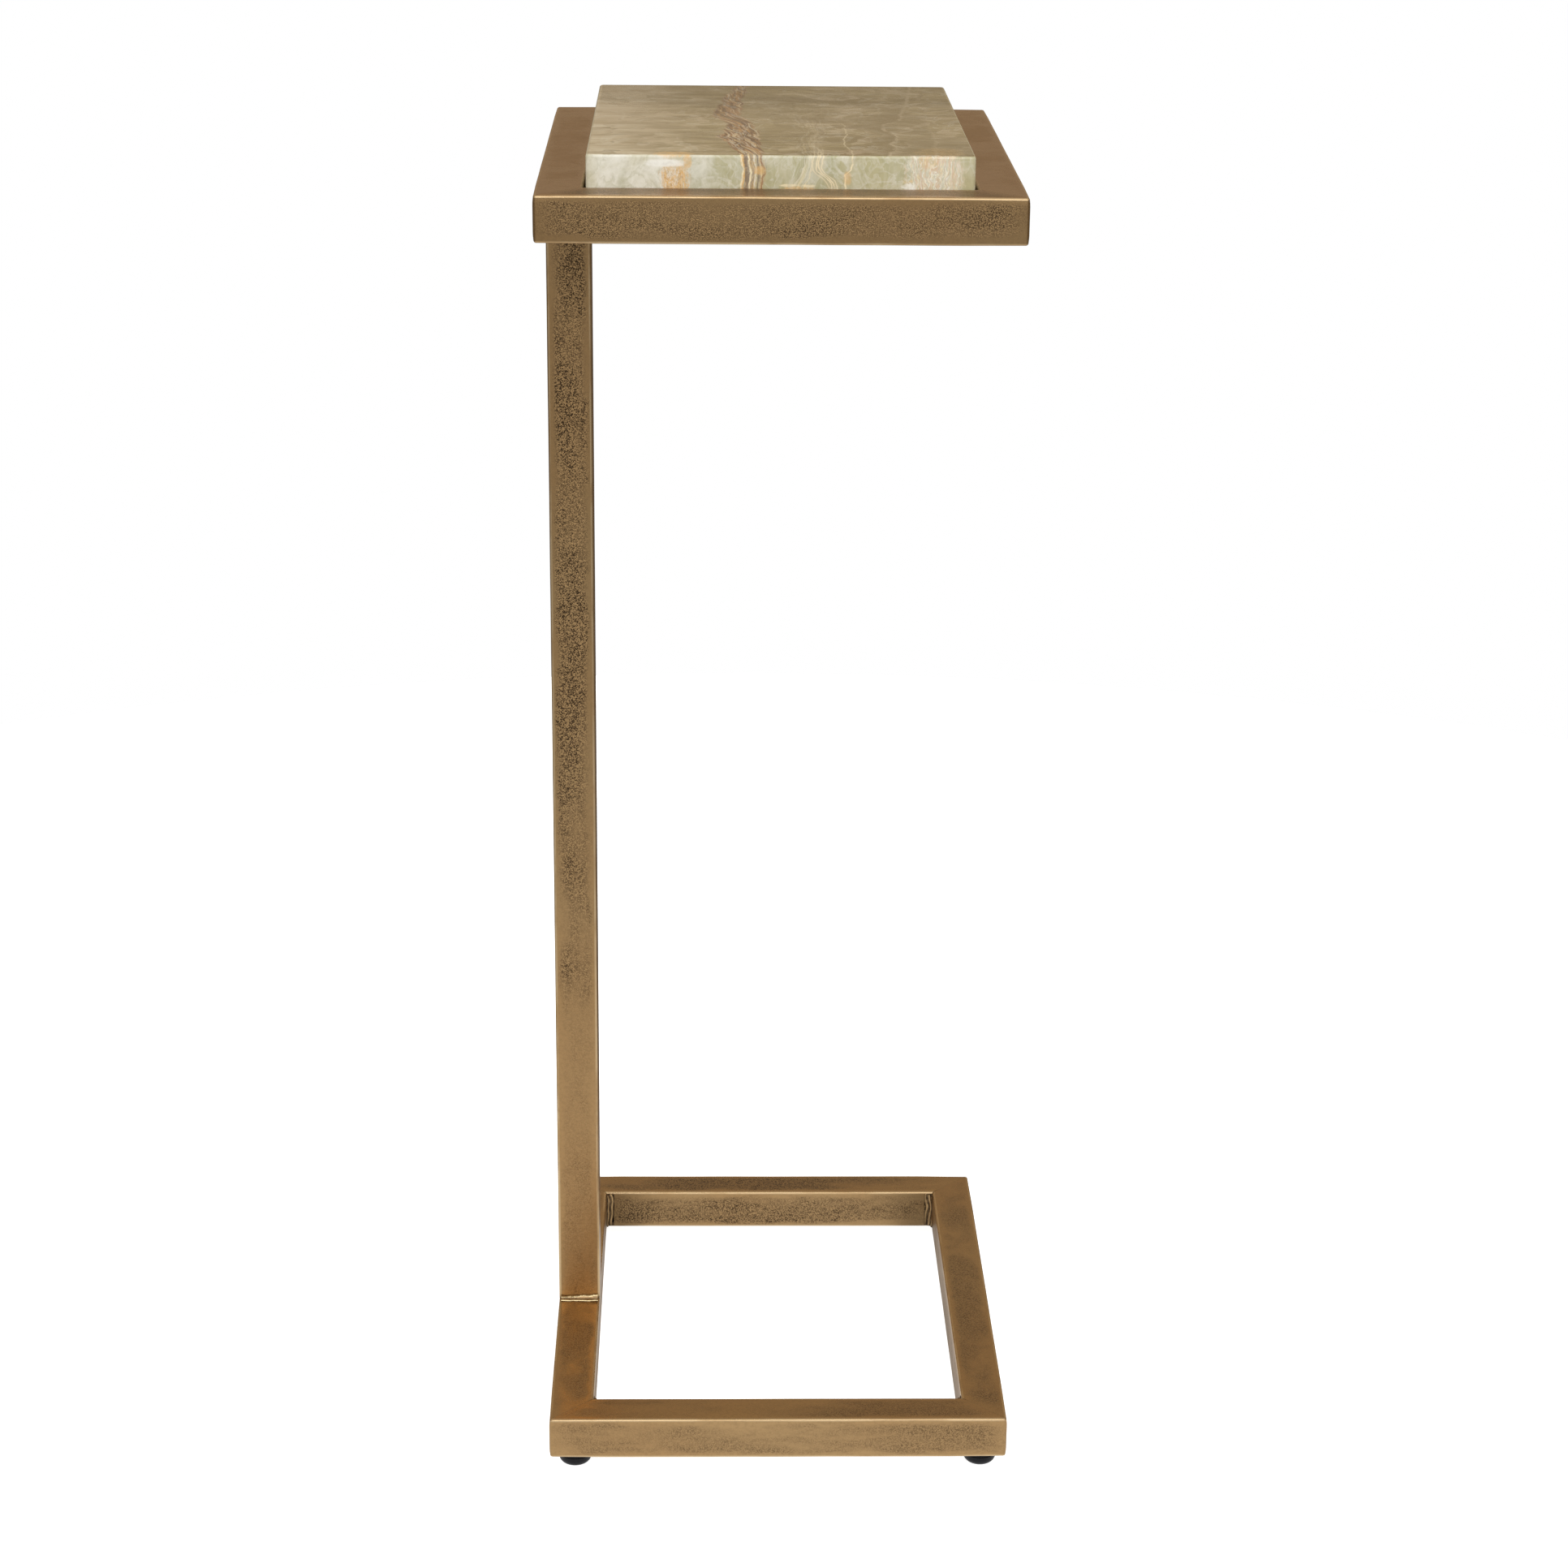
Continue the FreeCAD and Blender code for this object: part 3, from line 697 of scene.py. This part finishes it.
def join(pieces, name):
    """Joins meshes into one object."""
    joined = bmesh.new()
    for piece in pieces:
        joined.from_mesh(piece.data)
        bpy.data.objects.remove(piece)
    mesh = bpy.data.meshes.new(name)
    joined.to_mesh(mesh)
    joined.free()
    return add_object(name, mesh)


def give_material(piece, material):
    piece.data.materials.clear()
    piece.data.materials.append(material)


def finish_piece(piece, material, node, body="frame"):
    """Dresses a piece and sets it on its body in place of its CAD node."""
    give_material(piece, material)
    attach(piece, body)
    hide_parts(node)


def ring_faces(rows, ring, first=0):
    """Quads between rows of points that each go round in a ring."""
    faces = []
    for a in range(rows - 1):
        for b in range(ring):
            near, c = first + a * ring, (b + 1) % ring
            faces.append((near + b, near + c, near + ring + c, near + ring + b))
    return faces


def capped_faces(rows, ring):
    """The same with a face over each end."""
    last = (rows - 1) * ring
    return ring_faces(rows, ring) + [tuple(range(ring)), tuple(range(last, last + ring))]


def tube_faces(rows, ring):
    """The outside, the bore and the two end faces of a tube. The bore's eight points come last."""
    faces = ring_faces(rows, ring)
    bore, side = rows * ring, ring // 4
    for b in range(4):
        c = (b + 1) % 4
        faces.append((bore + b, bore + 4 + b, bore + 4 + c, bore + c))
        for end, start in ((0, bore), ((rows - 1) * ring, bore + 4)):
            outer = [end + (b * side + k) % ring for k in range(side + 1)]
            faces.append((*outer, start + c, start + b))
    return faces


def add_tube(name, node, points, edges, runs, rows, material):
    """Makes a tube of its rings' points and of the bore's eight points after them."""
    ends = [0.0] * (len(points) - len(edges))
    faces = tube_faces(rows, len(edges) // rows)
    piece = add_mesh(name, points, faces, {"edge": edges + ends, "run": runs + ends})
    finish_piece(piece, material, node)


def face_positions():
    """Places across one flat face, close together beside its arrises."""
    half = [ARRIS + d * MM for d in FACE_MARKS]
    return half + [TUBE / 2] + [TUBE - p for p in reversed(half)]


def tube_ring():
    """Outer ring of the square tube: (place across, place up, distance from an arris) of each point."""
    ring = []
    turns = ((0, 0), (1, 0), (1, 1), (0, 1))
    for number in range(4):
        start = np.array(turns[number], float) * TUBE
        along = np.array(turns[(number + 1) % 4], float) - np.array(turns[number], float)
        inward = np.array((-along[1], along[0]))
        centre = start + (along + inward) * ARRIS
        for step in range(ARRIS_STEPS):
            angle = math.pi / 2 * step / ARRIS_STEPS
            point = centre - ARRIS * (math.cos(angle) * along + math.sin(angle) * inward)
            ring.append((*point, 0.0))
        for place in face_positions():
            ring.append((*(start + along * place), min(place, TUBE - place) - ARRIS))
    return ring


def stations(half):
    """Places along a rail from -half to half, close together at its ends."""
    count = max(8, int(2 * half / STATION_STEP))
    inner = half - TIP_LENGTH
    middle = list(np.linspace(-inner, inner, count))
    tips = [half - d * MM for d in TIP_MARKS]
    return [-t for t in reversed(tips)] + middle + tips


def jitter(x, y, z):
    """Smooth noise from -1 to 1."""
    return noise.noise(Vector((x, y, z)))


def wear(point, edge, seed, ground, uneven):
    """How far a hand-ground surface lies inside the true one."""
    x, y, z = (c * WEAR_GRAIN for c in point)
    worn = max(0.0, 1 - edge / WEAR_REACH)
    return worn * (ground + uneven * (0.5 + 0.5 * jitter(x + seed, y, z)))


def toward_middle(value, place, inset):
    """A coordinate moved in from the tube's nearer face."""
    return value + (inset if place < TUBE / 2 else -inset)


def round_corner(x, y, z, half):
    """Draws a point of a rail in to the frame's round corner."""
    contour = ARRIS - math.sqrt(max(0.0, ARRIS ** 2 - max(0.0, ARRIS - min(z, TUBE - z)) ** 2))
    tip = half - CORNER_ROUND
    reach = CORNER_ROUND - contour
    dx, dy = abs(x) - tip, y - CORNER_ROUND
    if dx > 0 and dy < 0 and math.hypot(dx, dy) > reach:
        factor = reach / math.hypot(dx, dy)
        x = math.copysign(tip + dx * factor, x)
        y = CORNER_ROUND + dy * factor
    return x, y


def make_rail(node, length, centre, turn, material):
    """A mitred square tube along local X with its outer face at y = 0."""
    half = length / 2
    spin = Matrix.Rotation(turn, 4, "Z")
    shift = Vector(centre)
    points, edges, runs = [], [], []
    shares = [s / half for s in stations(half)]
    for s in shares:
        for across, up, edge in tube_ring():
            x, y = round_corner(s * (half - across), across, up, half)
            near_corner = max(0.0, 1 - (half - abs(x)) / CORNER_REACH)
            ground = RAIL_GROUND + CORNER_GROUND * near_corner
            inset = wear(spin @ Vector((x, y, up)) + shift, edge, 3.1, ground, RAIL_UNEVEN)
            place = (x, toward_middle(y, across, inset), toward_middle(up, up, inset))
            points.append(spin @ Vector(place) + shift)
            edges.append(edge)
            runs.append((1 - abs(s)) * half)
    for s in (-1.0, 1.0):
        for across, up in BORE:
            points.append(spin @ Vector((s * (half - across), across, up)) + shift)
    add_tube(f"{node}_skin", node, points, edges, runs, len(shares), material)


def make_frame_rails(prefix, material_of):
    boxes = [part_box(f"{prefix}_rail_{side}") for side in SIDES]
    left, near, bottom = (min(low[k] for low, high in boxes) for k in range(3))
    right, far = (max(high[k] for low, high in boxes) for k in range(2))
    middle_x, middle_y = (left + right) / 2, (near + far) / 2
    starts = ((middle_x, near), (right, middle_y), (middle_x, far), (left, middle_y))
    lengths = (right - left, far - near) * 2
    for number, side in enumerate(SIDES):
        centre = (*starts[number], bottom)
        turn = number * math.pi / 2
        make_rail(f"{prefix}_rail_{side}", lengths[number], centre, turn, material_of(side))


def make_column(material):
    """The upright tube, square cut at both ends."""
    low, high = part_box("column_tube")
    count = int((high[2] - low[2]) / STATION_STEP)
    points, edges, runs = [], [], []
    for z in np.linspace(low[2], high[2], count):
        for across, up, edge in tube_ring():
            x, y = low[0] + across, low[1] + up
            inset = wear((x, y, z), edge, 9.3, COLUMN_GROUND, COLUMN_UNEVEN)
            points.append((toward_middle(x, across, inset), toward_middle(y, up, inset), z))
            edges.append(edge)
            runs.append(min(z - low[2], high[2] - z) + PATINA_END[1])
    for z in (low[2], high[2]):
        for across, up in BORE:
            points.append((low[0] + across, low[1] + up, z))
    add_tube("column_skin", "column_tube", points, edges, runs, count, material)


def bead_section(share, seed):
    """Across a weld bead: a toe ridge, a hollow, and an upper ridge that climbs. (reach, rise, shine)."""
    climb = 0.42 + 0.40 * share + 0.16 * jitter(share * 7, seed, 0)
    toe = 0.84 + 0.16 * jitter(share * 8, seed, 4)
    lump = 0.12 * jitter(share * 22, seed, 9)
    # shine is a painted highlight on the toe and on the upper ridge
    return (
        (0.0, 0.0, 0.0), (toe + 0.06, 0.0, 0.1), (toe + 0.05, 0.07, 0.6), (toe, 0.16, 1.0),
        (toe - 0.12, 0.21, 0.85), (toe - 0.26, 0.19, 0.15), (0.44, climb * 0.52, 0.0),
        (0.36, climb * 0.86 + lump, 0.6), (0.28, climb + lump, 1.0), (0.18, climb + 0.05 + lump, 0.9),
        (0.09, climb + 0.05, 0.1), (0.0, climb + 0.10, 0.0),
    )


def make_bead(low_x, high_x, corner_y, corner_z, out, up, leg, seed):
    """A weld bead along X in the corner of two faces."""
    points, shine = [], []
    for row in range(BEAD_ROWS + 1):
        share = row / BEAD_ROWS
        x = low_x + (high_x - low_x) * share
        section = bead_section(share, seed)
        for reach, rise, glint in section:
            y = corner_y + out * leg * min(max(reach, 0.0), 1.0)
            points.append((x, y, corner_z + up * leg * min(rise, 1.0)))
            shine.append(glint)
    return add_mesh("bead", points, capped_faces(BEAD_ROWS + 1, len(section)), {"edge": shine})


def make_column_welds(material):
    low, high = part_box("column_tube")
    for node, z, up in (("column_foot_welds", low[2], 1), ("column_head_welds", high[2], -1)):
        box_low, box_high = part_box(node)
        leg = box_high[2] - box_low[2]
        beads = [
            make_bead(box_low[0], box_high[0], low[1], z, -1, up, leg, 1.7),
            make_bead(box_low[0], box_high[0], high[1], z, 1, up, leg, 4.2),
        ]
        finish_piece(join(beads, f"{node}_skin"), material, node)


def fillet_row(share, number):
    """Across a hollow fillet with ripples: (reach along x, reach along y, shine) of each point."""
    leg = FILLET_RADIUS * (0.90 + 0.10 * jitter(share * 3, number * 3.3, 0))
    drift = 2.4 * jitter(share * 2.2, number * 5.1, 2)
    row = [(0.0, 0.0, 0.0)]
    for b in range(FILLET_STEPS + 1):
        angle = math.pi / 2 * b / FILLET_STEPS
        ripple = math.cos(angle * 12 + drift * 3)
        inner = min(1.0, min(b, FILLET_STEPS - b) / 3)
        lump = 1 + inner * (0.05 * ripple + 0.05 * jitter(share * 7, b * 0.3, number))
        dx = leg if b == 0 else leg * (1 - math.sin(angle) * lump)
        dy = leg if b == FILLET_STEPS else leg * (1 - math.cos(angle) * lump)
        dx, dy = (max(0.0, min(FILLET_RADIUS, d)) for d in (dx, dy))
        # shine paints a highlight along the ripples' ridges, darker in the grooves between them
        row.append((dx, dy, 0.45 - 0.45 * ripple * inner))
    return row


def make_corner_welds(material):
    """Uneven hollow fillets up the inner corners of the base frame."""
    low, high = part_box("base_corner_welds")
    welds = []
    for number, (side_x, side_y) in enumerate(CORNERS.values()):
        corner_x = high[0] if side_x > 0 else low[0]
        corner_y = high[1] if side_y > 0 else low[1]
        points, shine = [], []
        for a in range(FILLET_ROWS + 1):
            share = a / FILLET_ROWS
            z = low[2] + (high[2] - low[2]) * share
            for dx, dy, glint in fillet_row(share, number):
                points.append((corner_x - side_x * dx, corner_y - side_y * dy, z))
                shine.append(glint)
        faces = capped_faces(FILLET_ROWS + 1, FILLET_STEPS + 2)
        welds.append(add_mesh("weld", points, faces, {"edge": shine}))
    finish_piece(join(welds, "base_corner_welds_skin"), material, "base_corner_welds")


def rise(edge):
    return abs(edge.verts[0].co.z - edge.verts[1].co.z)


def make_slab():
    """The onyx slab with softly eased corners and arrises."""
    low, high = (Vector(c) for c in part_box("onyx_slab"))
    block = bmesh.new()
    bmesh.ops.create_cube(block, size=1.0)
    for vertex in block.verts:
        vertex.co = Vector(((low[k] + high[k]) / 2 + vertex.co[k] * (high[k] - low[k]) for k in range(3)))
    upright = [e for e in block.edges if rise(e) > 5 * MM]
    bmesh.ops.bevel(block, geom=upright, offset=SLAB_CORNER, segments=5, profile=0.5, affect="EDGES")
    rims = [e for e in block.edges if rise(e) < 0.01 * MM]
    bmesh.ops.bevel(block, geom=rims, offset=SLAB_ARRIS, segments=4, profile=0.5, affect="EDGES")
    mesh = bpy.data.meshes.new("onyx_slab_skin")
    block.to_mesh(mesh)
    block.free()
    mesh.shade_smooth()
    mesh.set_sharp_from_angle(angle=math.radians(40))
    piece = add_object("onyx_slab_skin", mesh)
    finish_piece(piece, Onyx(low, high).finish(), "onyx_slab", "slab")


def circle(centre, z, radii):
    """Points round an upright axis, one for each radius."""
    points = []
    for number, radius in enumerate(radii):
        angle = 2 * math.pi * number / len(radii)
        points.append((centre[0] + radius * math.cos(angle), centre[1] + radius * math.sin(angle), z))
    return points


def lathe(name, profile, centre, segments=72):
    """Turns (radius, height) points about an upright axis. Ends on the axis close the form."""
    points, faces, rows = [], [], []
    for radius, z in profile:
        first = len(points)
        points += circle(centre, z, [0.0] if radius < ON_AXIS else [radius] * segments)
        rows.append(range(first, len(points)))
    for one, two in zip(rows, rows[1:]):
        for number in range(segments):
            following = (number + 1) % segments
            if len(one) == 1:
                faces.append((one[0], two[number], two[following]))
            elif len(two) == 1:
                faces.append((one[following], one[number], two[0]))
            else:
                faces.append((one[number], one[following], two[following], two[number]))
    return add_mesh(name, points, faces)


def arc_profile(centre_r, centre_z, radius, start, end, steps):
    """Points of an arc, angles in degrees."""
    angles = [math.radians(start + (end - start) * n / steps) for n in range(steps + 1)]
    return [(centre_r + radius * math.cos(a), centre_z + radius * math.sin(a)) for a in angles]


def glide_profile(radius, top):
    """A round-bottomed glide with a groove round it, and the socket that holds the stud's head."""
    lip, floor = top - LIP_DEPTH, top - SOCKET_DEPTH
    dome_start = radius - GLIDE_DOME
    return [
        (0.0, 0.0), (dome_start - FLAT_MARGIN, 0.0),
        *arc_profile(dome_start, GLIDE_DOME, GLIDE_DOME, -90, 0, 12),
        *((radius - GROOVE_DEPTH * deep, z) for deep, z in zip((0, 1, 1, 0), GROOVE_HEIGHTS)),
        *arc_profile(radius - GLIDE_RIM, top - GLIDE_RIM, GLIDE_RIM, 0, 90, 4),
        (NECK_RADIUS, top), (NECK_RADIUS, lip), (SOCKET_RADIUS, lip), (SOCKET_RADIUS, floor), (0.0, floor),
    ]


def make_feet(plastic, zinc):
    """The round-bottomed glides and their threaded studs."""
    for corner in CORNERS:
        node = f"foot_pad_{corner}"
        low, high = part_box(node)
        centre = ((low[0] + high[0]) / 2, (low[1] + high[1]) / 2)
        piece = lathe(f"{node}_skin", glide_profile((high[0] - low[0]) / 2, high[2]), centre)
        piece.data.set_sharp_from_angle(angle=math.radians(35))
        finish_piece(piece, plastic, node, f"foot_{corner}")
        make_stud(corner, centre, zinc)


def thread_radius(z, turn, fade):
    """Radius of the thread at a height and at a share of a turn."""
    phase = (z / THREAD_PITCH - turn) % 1.0
    crest = 1 - abs(2 * phase - 1)
    return (SHANK_RADIUS - THREAD_DEPTH * (1 - min(1.0, crest * 1.3))) * (0.78 + 0.22 * fade)


def make_stud(corner, centre, zinc):
    """A round-headed stud with a helical thread that runs out at its tip."""
    node = f"foot_stud_{corner}"
    low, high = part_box(node)
    rim, bottom, top = (high[0] - low[0]) / 2, low[2], low[2] + STUD_HEAD
    head = (
        (rim - STUD_EASE, bottom), (rim, bottom + STUD_EASE), (rim, top - STUD_EASE),
        (rim - STUD_EASE, top), (SHOULDER_RADIUS, top),
    )
    points = [(centre[0], centre[1], bottom)]
    for radius, z in head:
        points += circle(centre, z, [radius] * STUD_SIDES)
    thread_rows = int((high[2] - top) / THREAD_PITCH * ROWS_PER_PITCH)
    for row in range(1, thread_rows + 1):
        z = top + (high[2] - top) * row / thread_rows
        fade = min(1.0, (high[2] - z) / THREAD_FADE + 0.05)
        points += circle(centre, z, [thread_radius(z, n / STUD_SIDES, fade) for n in range(STUD_SIDES)])
    faces = ring_faces(len(head) + thread_rows, STUD_SIDES, 1)
    faces += [(0, 1 + (n + 1) % STUD_SIDES, 1 + n) for n in range(STUD_SIDES)]
    faces.append(tuple(range(len(points) - STUD_SIDES, len(points))))
    piece = add_mesh(f"{node}_skin", points, faces)
    piece.data.set_sharp_from_angle(angle=math.radians(50))
    finish_piece(piece, zinc, node, f"stud_{corner}")


# The table

brass_top_front = brass("brass_top_front", 0.85, 0.50, 0.14, (0.11, 0.0, 0.31), (0.4, 1.0, 1.5), brown=0.6)
brass_top = brass("brass_top", 0.10, 0.20, 0.0, (0.5, 0.2, 0.1), brown=0.6)
# Low down the column is painted lighter, a painted light; above that it stays darker, a painted shade under
# the top.
brass_column = brass(
    "brass_column", 1.35, 0.50, 0.13, (0.0, 0.4, 0.07), (1.5, 1.5, 0.45), painted_light_stretch=(0.010, 0.190),
)
brass_base_front = brass("brass_base_front", 0.50, 0.36, 0.06, (0.8, 0.1, 0.3), (0.4, 1.0, 2.0))
brass_base_back = brass("brass_base_back", 1.0, 0.50, 0.06, (0.37, 0.6, 0.2), (0.32, 1.0, 1.7))
brass_base = brass("brass_base", 0.60, 0.34, 0.03, (0.2, 0.9, 0.4), (1.0, 0.6, 1.0), brown=0.0)
beads = weld_brass("weld_bead_brass", BRASS_AGED, WELD_HIGHLIGHT)
fillets = weld_brass("weld_fillet_brass", BRASS_SPOT, BRASS_CLEAN)
plastic = plain_surface("black_plastic", (0.007, 0.007, 0.009), 0.36, ior=1.28)
zinc = plain_surface("zinc_plate", (0.62, 0.62, 0.60), 0.28, 1.0, 900.0)
dark_steel = plain_surface("ledge_steel", (0.10, 0.075, 0.05), 0.45, 0.6, 300.0)
clear_rubber = plain_surface("bumper_rubber", (0.72, 0.72, 0.70), 0.35)

top_brasses = {"front": brass_top_front}
base_brasses = {"front": brass_base_front, "back": brass_base_back}
make_frame_rails("top", lambda side: top_brasses.get(side, brass_top))
make_frame_rails("base", lambda side: base_brasses.get(side, brass_base))
make_column(brass_column)
make_column_welds(beads)
make_corner_welds(fillets)
make_slab()
make_feet(plastic, zinc)

# Pieces that keep their CAD shape
for start, finish in (("slab_ledge", dark_steel), ("foot_insert", zinc), ("slab_bumper_pads", clear_rubber)):
    for name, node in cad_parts.items():
        if name.startswith(start):
            give_material(node, finish)

# Floor, light and camera

FLOOR_RADIUS = 1.25
FLOOR_CENTRE = (0, -0.15, 0)
FLOOR_PAINT = (0.80, 0.80, 0.80, 1.0)
FLOOR_GLOW = 0.86

# What the metal mirrors, where white is 1
FLOOR_LIGHT = 1.05
FRONT_LIGHT = 0.50
# How dark the painted shadow beside the base's side rails is
BESIDE_SHADOW_LEVEL = 0.45
SIDE_COLOUR = (0.220, 0.190, 0.150)
BACK_COLOUR = (0.400, 0.302, 0.195)
HIGH_BACK_COLOUR = (0.530, 0.435, 0.310)
FAR_FLOOR_COLOUR = (0.170, 0.135, 0.100)
SOFTBOX_LIGHT = 2.15
CEILING_LIGHT = 0.6

# Where one level passes into the next: on the floor in metres from its centre, and in the world as a
# part of the direction, from -1 to 1
FLOOR_FADE = (0.10, 1.0)
FAR_FLOOR = (0.19, 0.45)
BESIDE_INNER, BESIDE_OUTER = (0.055, 0.080), (0.10, 0.14)
BESIDE_FRONT = (0.03, 0.06)
FRONT_WALL = (-0.85, -0.35)
BACK_WALL = (0.35, 0.85)
HORIZON = (-0.20, 0.08)
HIGH_BACK = (0.28, 0.47)
SOFTBOX_RISE = (0.15, 0.42)
CEILING_RISE = (0.55, 1.0)

# Each lamp's place, the point it looks at, its width, its height and its power
LAMPS = {
    "front_softbox": ((0.35, -1.75, 2.15), (0.0, 0.0, 0.35), 1.6, 1.2, 17.0),
    "left_softbox": ((-2.1, -0.9, 1.1), (0.0, 0.0, 0.3), 1.0, 1.2, 9.0),
    "right_softbox": ((2.1, -0.6, 1.1), (0.0, 0.0, 0.3), 1.0, 1.2, 9.0),
}


def floor_mirror(g):
    """What the metal mirrors of the floor: darker far out and behind, and a painted shadow along the base's
    side rails.
    """
    x, y = g.axes()[:2]
    radius = g.math("SQRT", g.plus(g.times(x, x), g.times(y, y)))
    light = g.ramp(radius, *FLOOR_FADE, FLOOR_LIGHT, FRONT_LIGHT)
    aside = g.absolute(x)
    # Painted shadow: the mirrored floor is darker beside the base's rear half, where the table shades it.
    beside = g.times(g.ramp(aside, *BESIDE_INNER), g.fall(aside, *BESIDE_OUTER))
    beside = g.times(beside, g.ramp(y, *BESIDE_FRONT))
    light = g.times(light, g.ramp(beside, 0.0, 1.0, 1.0, BESIDE_SHADOW_LEVEL))
    grey = g.out("CombineColor", {"Red": light, "Green": light, "Blue": light})
    return g.mix(g.ramp(y, *FAR_FLOOR), grey, FAR_FLOOR_COLOUR)


def make_floor():
    """A white floor: full white to the eye, yet it keeps a faint contact shadow."""
    bpy.ops.mesh.primitive_circle_add(
        vertices=96, radius=FLOOR_RADIUS, fill_type="NGON", location=FLOOR_CENTRE,
    )
    floor = bpy.context.object
    floor.name = "studio_floor"
    material, g = new_material("studio_floor")
    rays = g.add("LightPath").outputs
    mirrored = g.math("MAXIMUM", rays["Is Glossy Ray"], rays["Is Transmission Ray"])
    paint = g.out("BsdfDiffuse", {"Color": FLOOR_PAINT})
    glow = g.out("Emission", {"Color": FULL_WHITE, "Strength": g.times(rays["Is Camera Ray"], FLOOR_GLOW)})
    mirror = g.out("Emission", {"Color": floor_mirror(g)})
    surface = g.mix_shaders(mirrored, g.add_shaders(paint, glow), mirror)
    g.add("OutputMaterial", {"Surface": surface})
    floor.data.materials.append(material)


def make_world():
    """White to the eye, and a plain grey studio to the lights and reflections."""
    world = bpy.data.worlds.new("studio")
    bpy.context.scene.world = world
    world.use_nodes = True
    g = Graph(world.node_tree)
    way = g.add("TexCoord").outputs["Generated"]
    split = g.add("SeparateXYZ", {"Vector": way}).outputs
    back, up = split["Y"], split["Z"]
    front = g.fall(back, *FRONT_WALL)
    rear = g.mix(g.ramp(up, *HORIZON), FAR_FLOOR_COLOUR, BACK_COLOUR)
    rear = g.mix(g.ramp(up, *HIGH_BACK), rear, HIGH_BACK_COLOUR)
    colour = g.mix(g.ramp(back, *BACK_WALL), SIDE_COLOUR, rear)
    colour = g.mix(front, colour, (FRONT_LIGHT, FRONT_LIGHT, FRONT_LIGHT))
    glow = g.times(front, g.ramp(up, *SOFTBOX_RISE, 0.0, SOFTBOX_LIGHT))
    glow = g.plus(glow, g.ramp(up, *CEILING_RISE, 0.0, CEILING_LIGHT))
    walls = g.out("Background", {"Color": colour})
    lights = g.out("Background", {"Color": FULL_WHITE, "Strength": glow})
    white = g.out("Background", {"Color": FULL_WHITE})
    seen = g.add("LightPath").outputs["Is Camera Ray"]
    studio = g.mix_shaders(seen, g.add_shaders(walls, lights), white)
    g.add("OutputWorld", {"Surface": studio})


def make_lamps():
    """Large soft lamps that the metal doesn't mirror."""
    for name, (place, target, width, height, power) in LAMPS.items():
        light = bpy.data.lights.new(name, "AREA")
        light.shape = "RECTANGLE"
        light.size, light.size_y, light.energy = width, height, power
        lamp = add_object(name, light)
        lamp.location = place
        lamp.visible_glossy = False
        lamp.rotation_mode = "QUATERNION"
        lamp.rotation_quaternion = (Vector(target) - Vector(place)).to_track_quat("-Z", "Y")


def make_camera():
    """The photograph's viewpoint."""
    data = bpy.data.cameras.new("photo_camera")
    data.sensor_width = SENSOR_MM
    data.lens = FOCAL_PX / PHOTO_SIDE_PX * SENSOR_MM
    data.clip_start, data.clip_end = CLIP_NEAR, CLIP_FAR
    level = math.cos(CAMERA_PITCH)
    forward = Vector((math.sin(CAMERA_YAW) * level, math.cos(CAMERA_YAW) * level, -math.sin(CAMERA_PITCH)))
    right = Vector((math.cos(CAMERA_YAW), -math.sin(CAMERA_YAW), 0.0))
    down = forward.cross(right)
    rolled_right = right * math.cos(CAMERA_ROLL) + down * math.sin(CAMERA_ROLL)
    rolled_down = down * math.cos(CAMERA_ROLL) - right * math.sin(CAMERA_ROLL)
    turn = Matrix((rolled_right, -rolled_down, -forward)).transposed().to_4x4()
    camera = add_object("photo_camera", data)
    camera.matrix_world = Matrix.Translation(CAMERA_AT) @ turn
    bpy.context.scene.camera = camera


make_floor()
make_world()
make_camera()
make_lamps()

scene = bpy.context.scene
scene.view_settings.view_transform = "Standard"
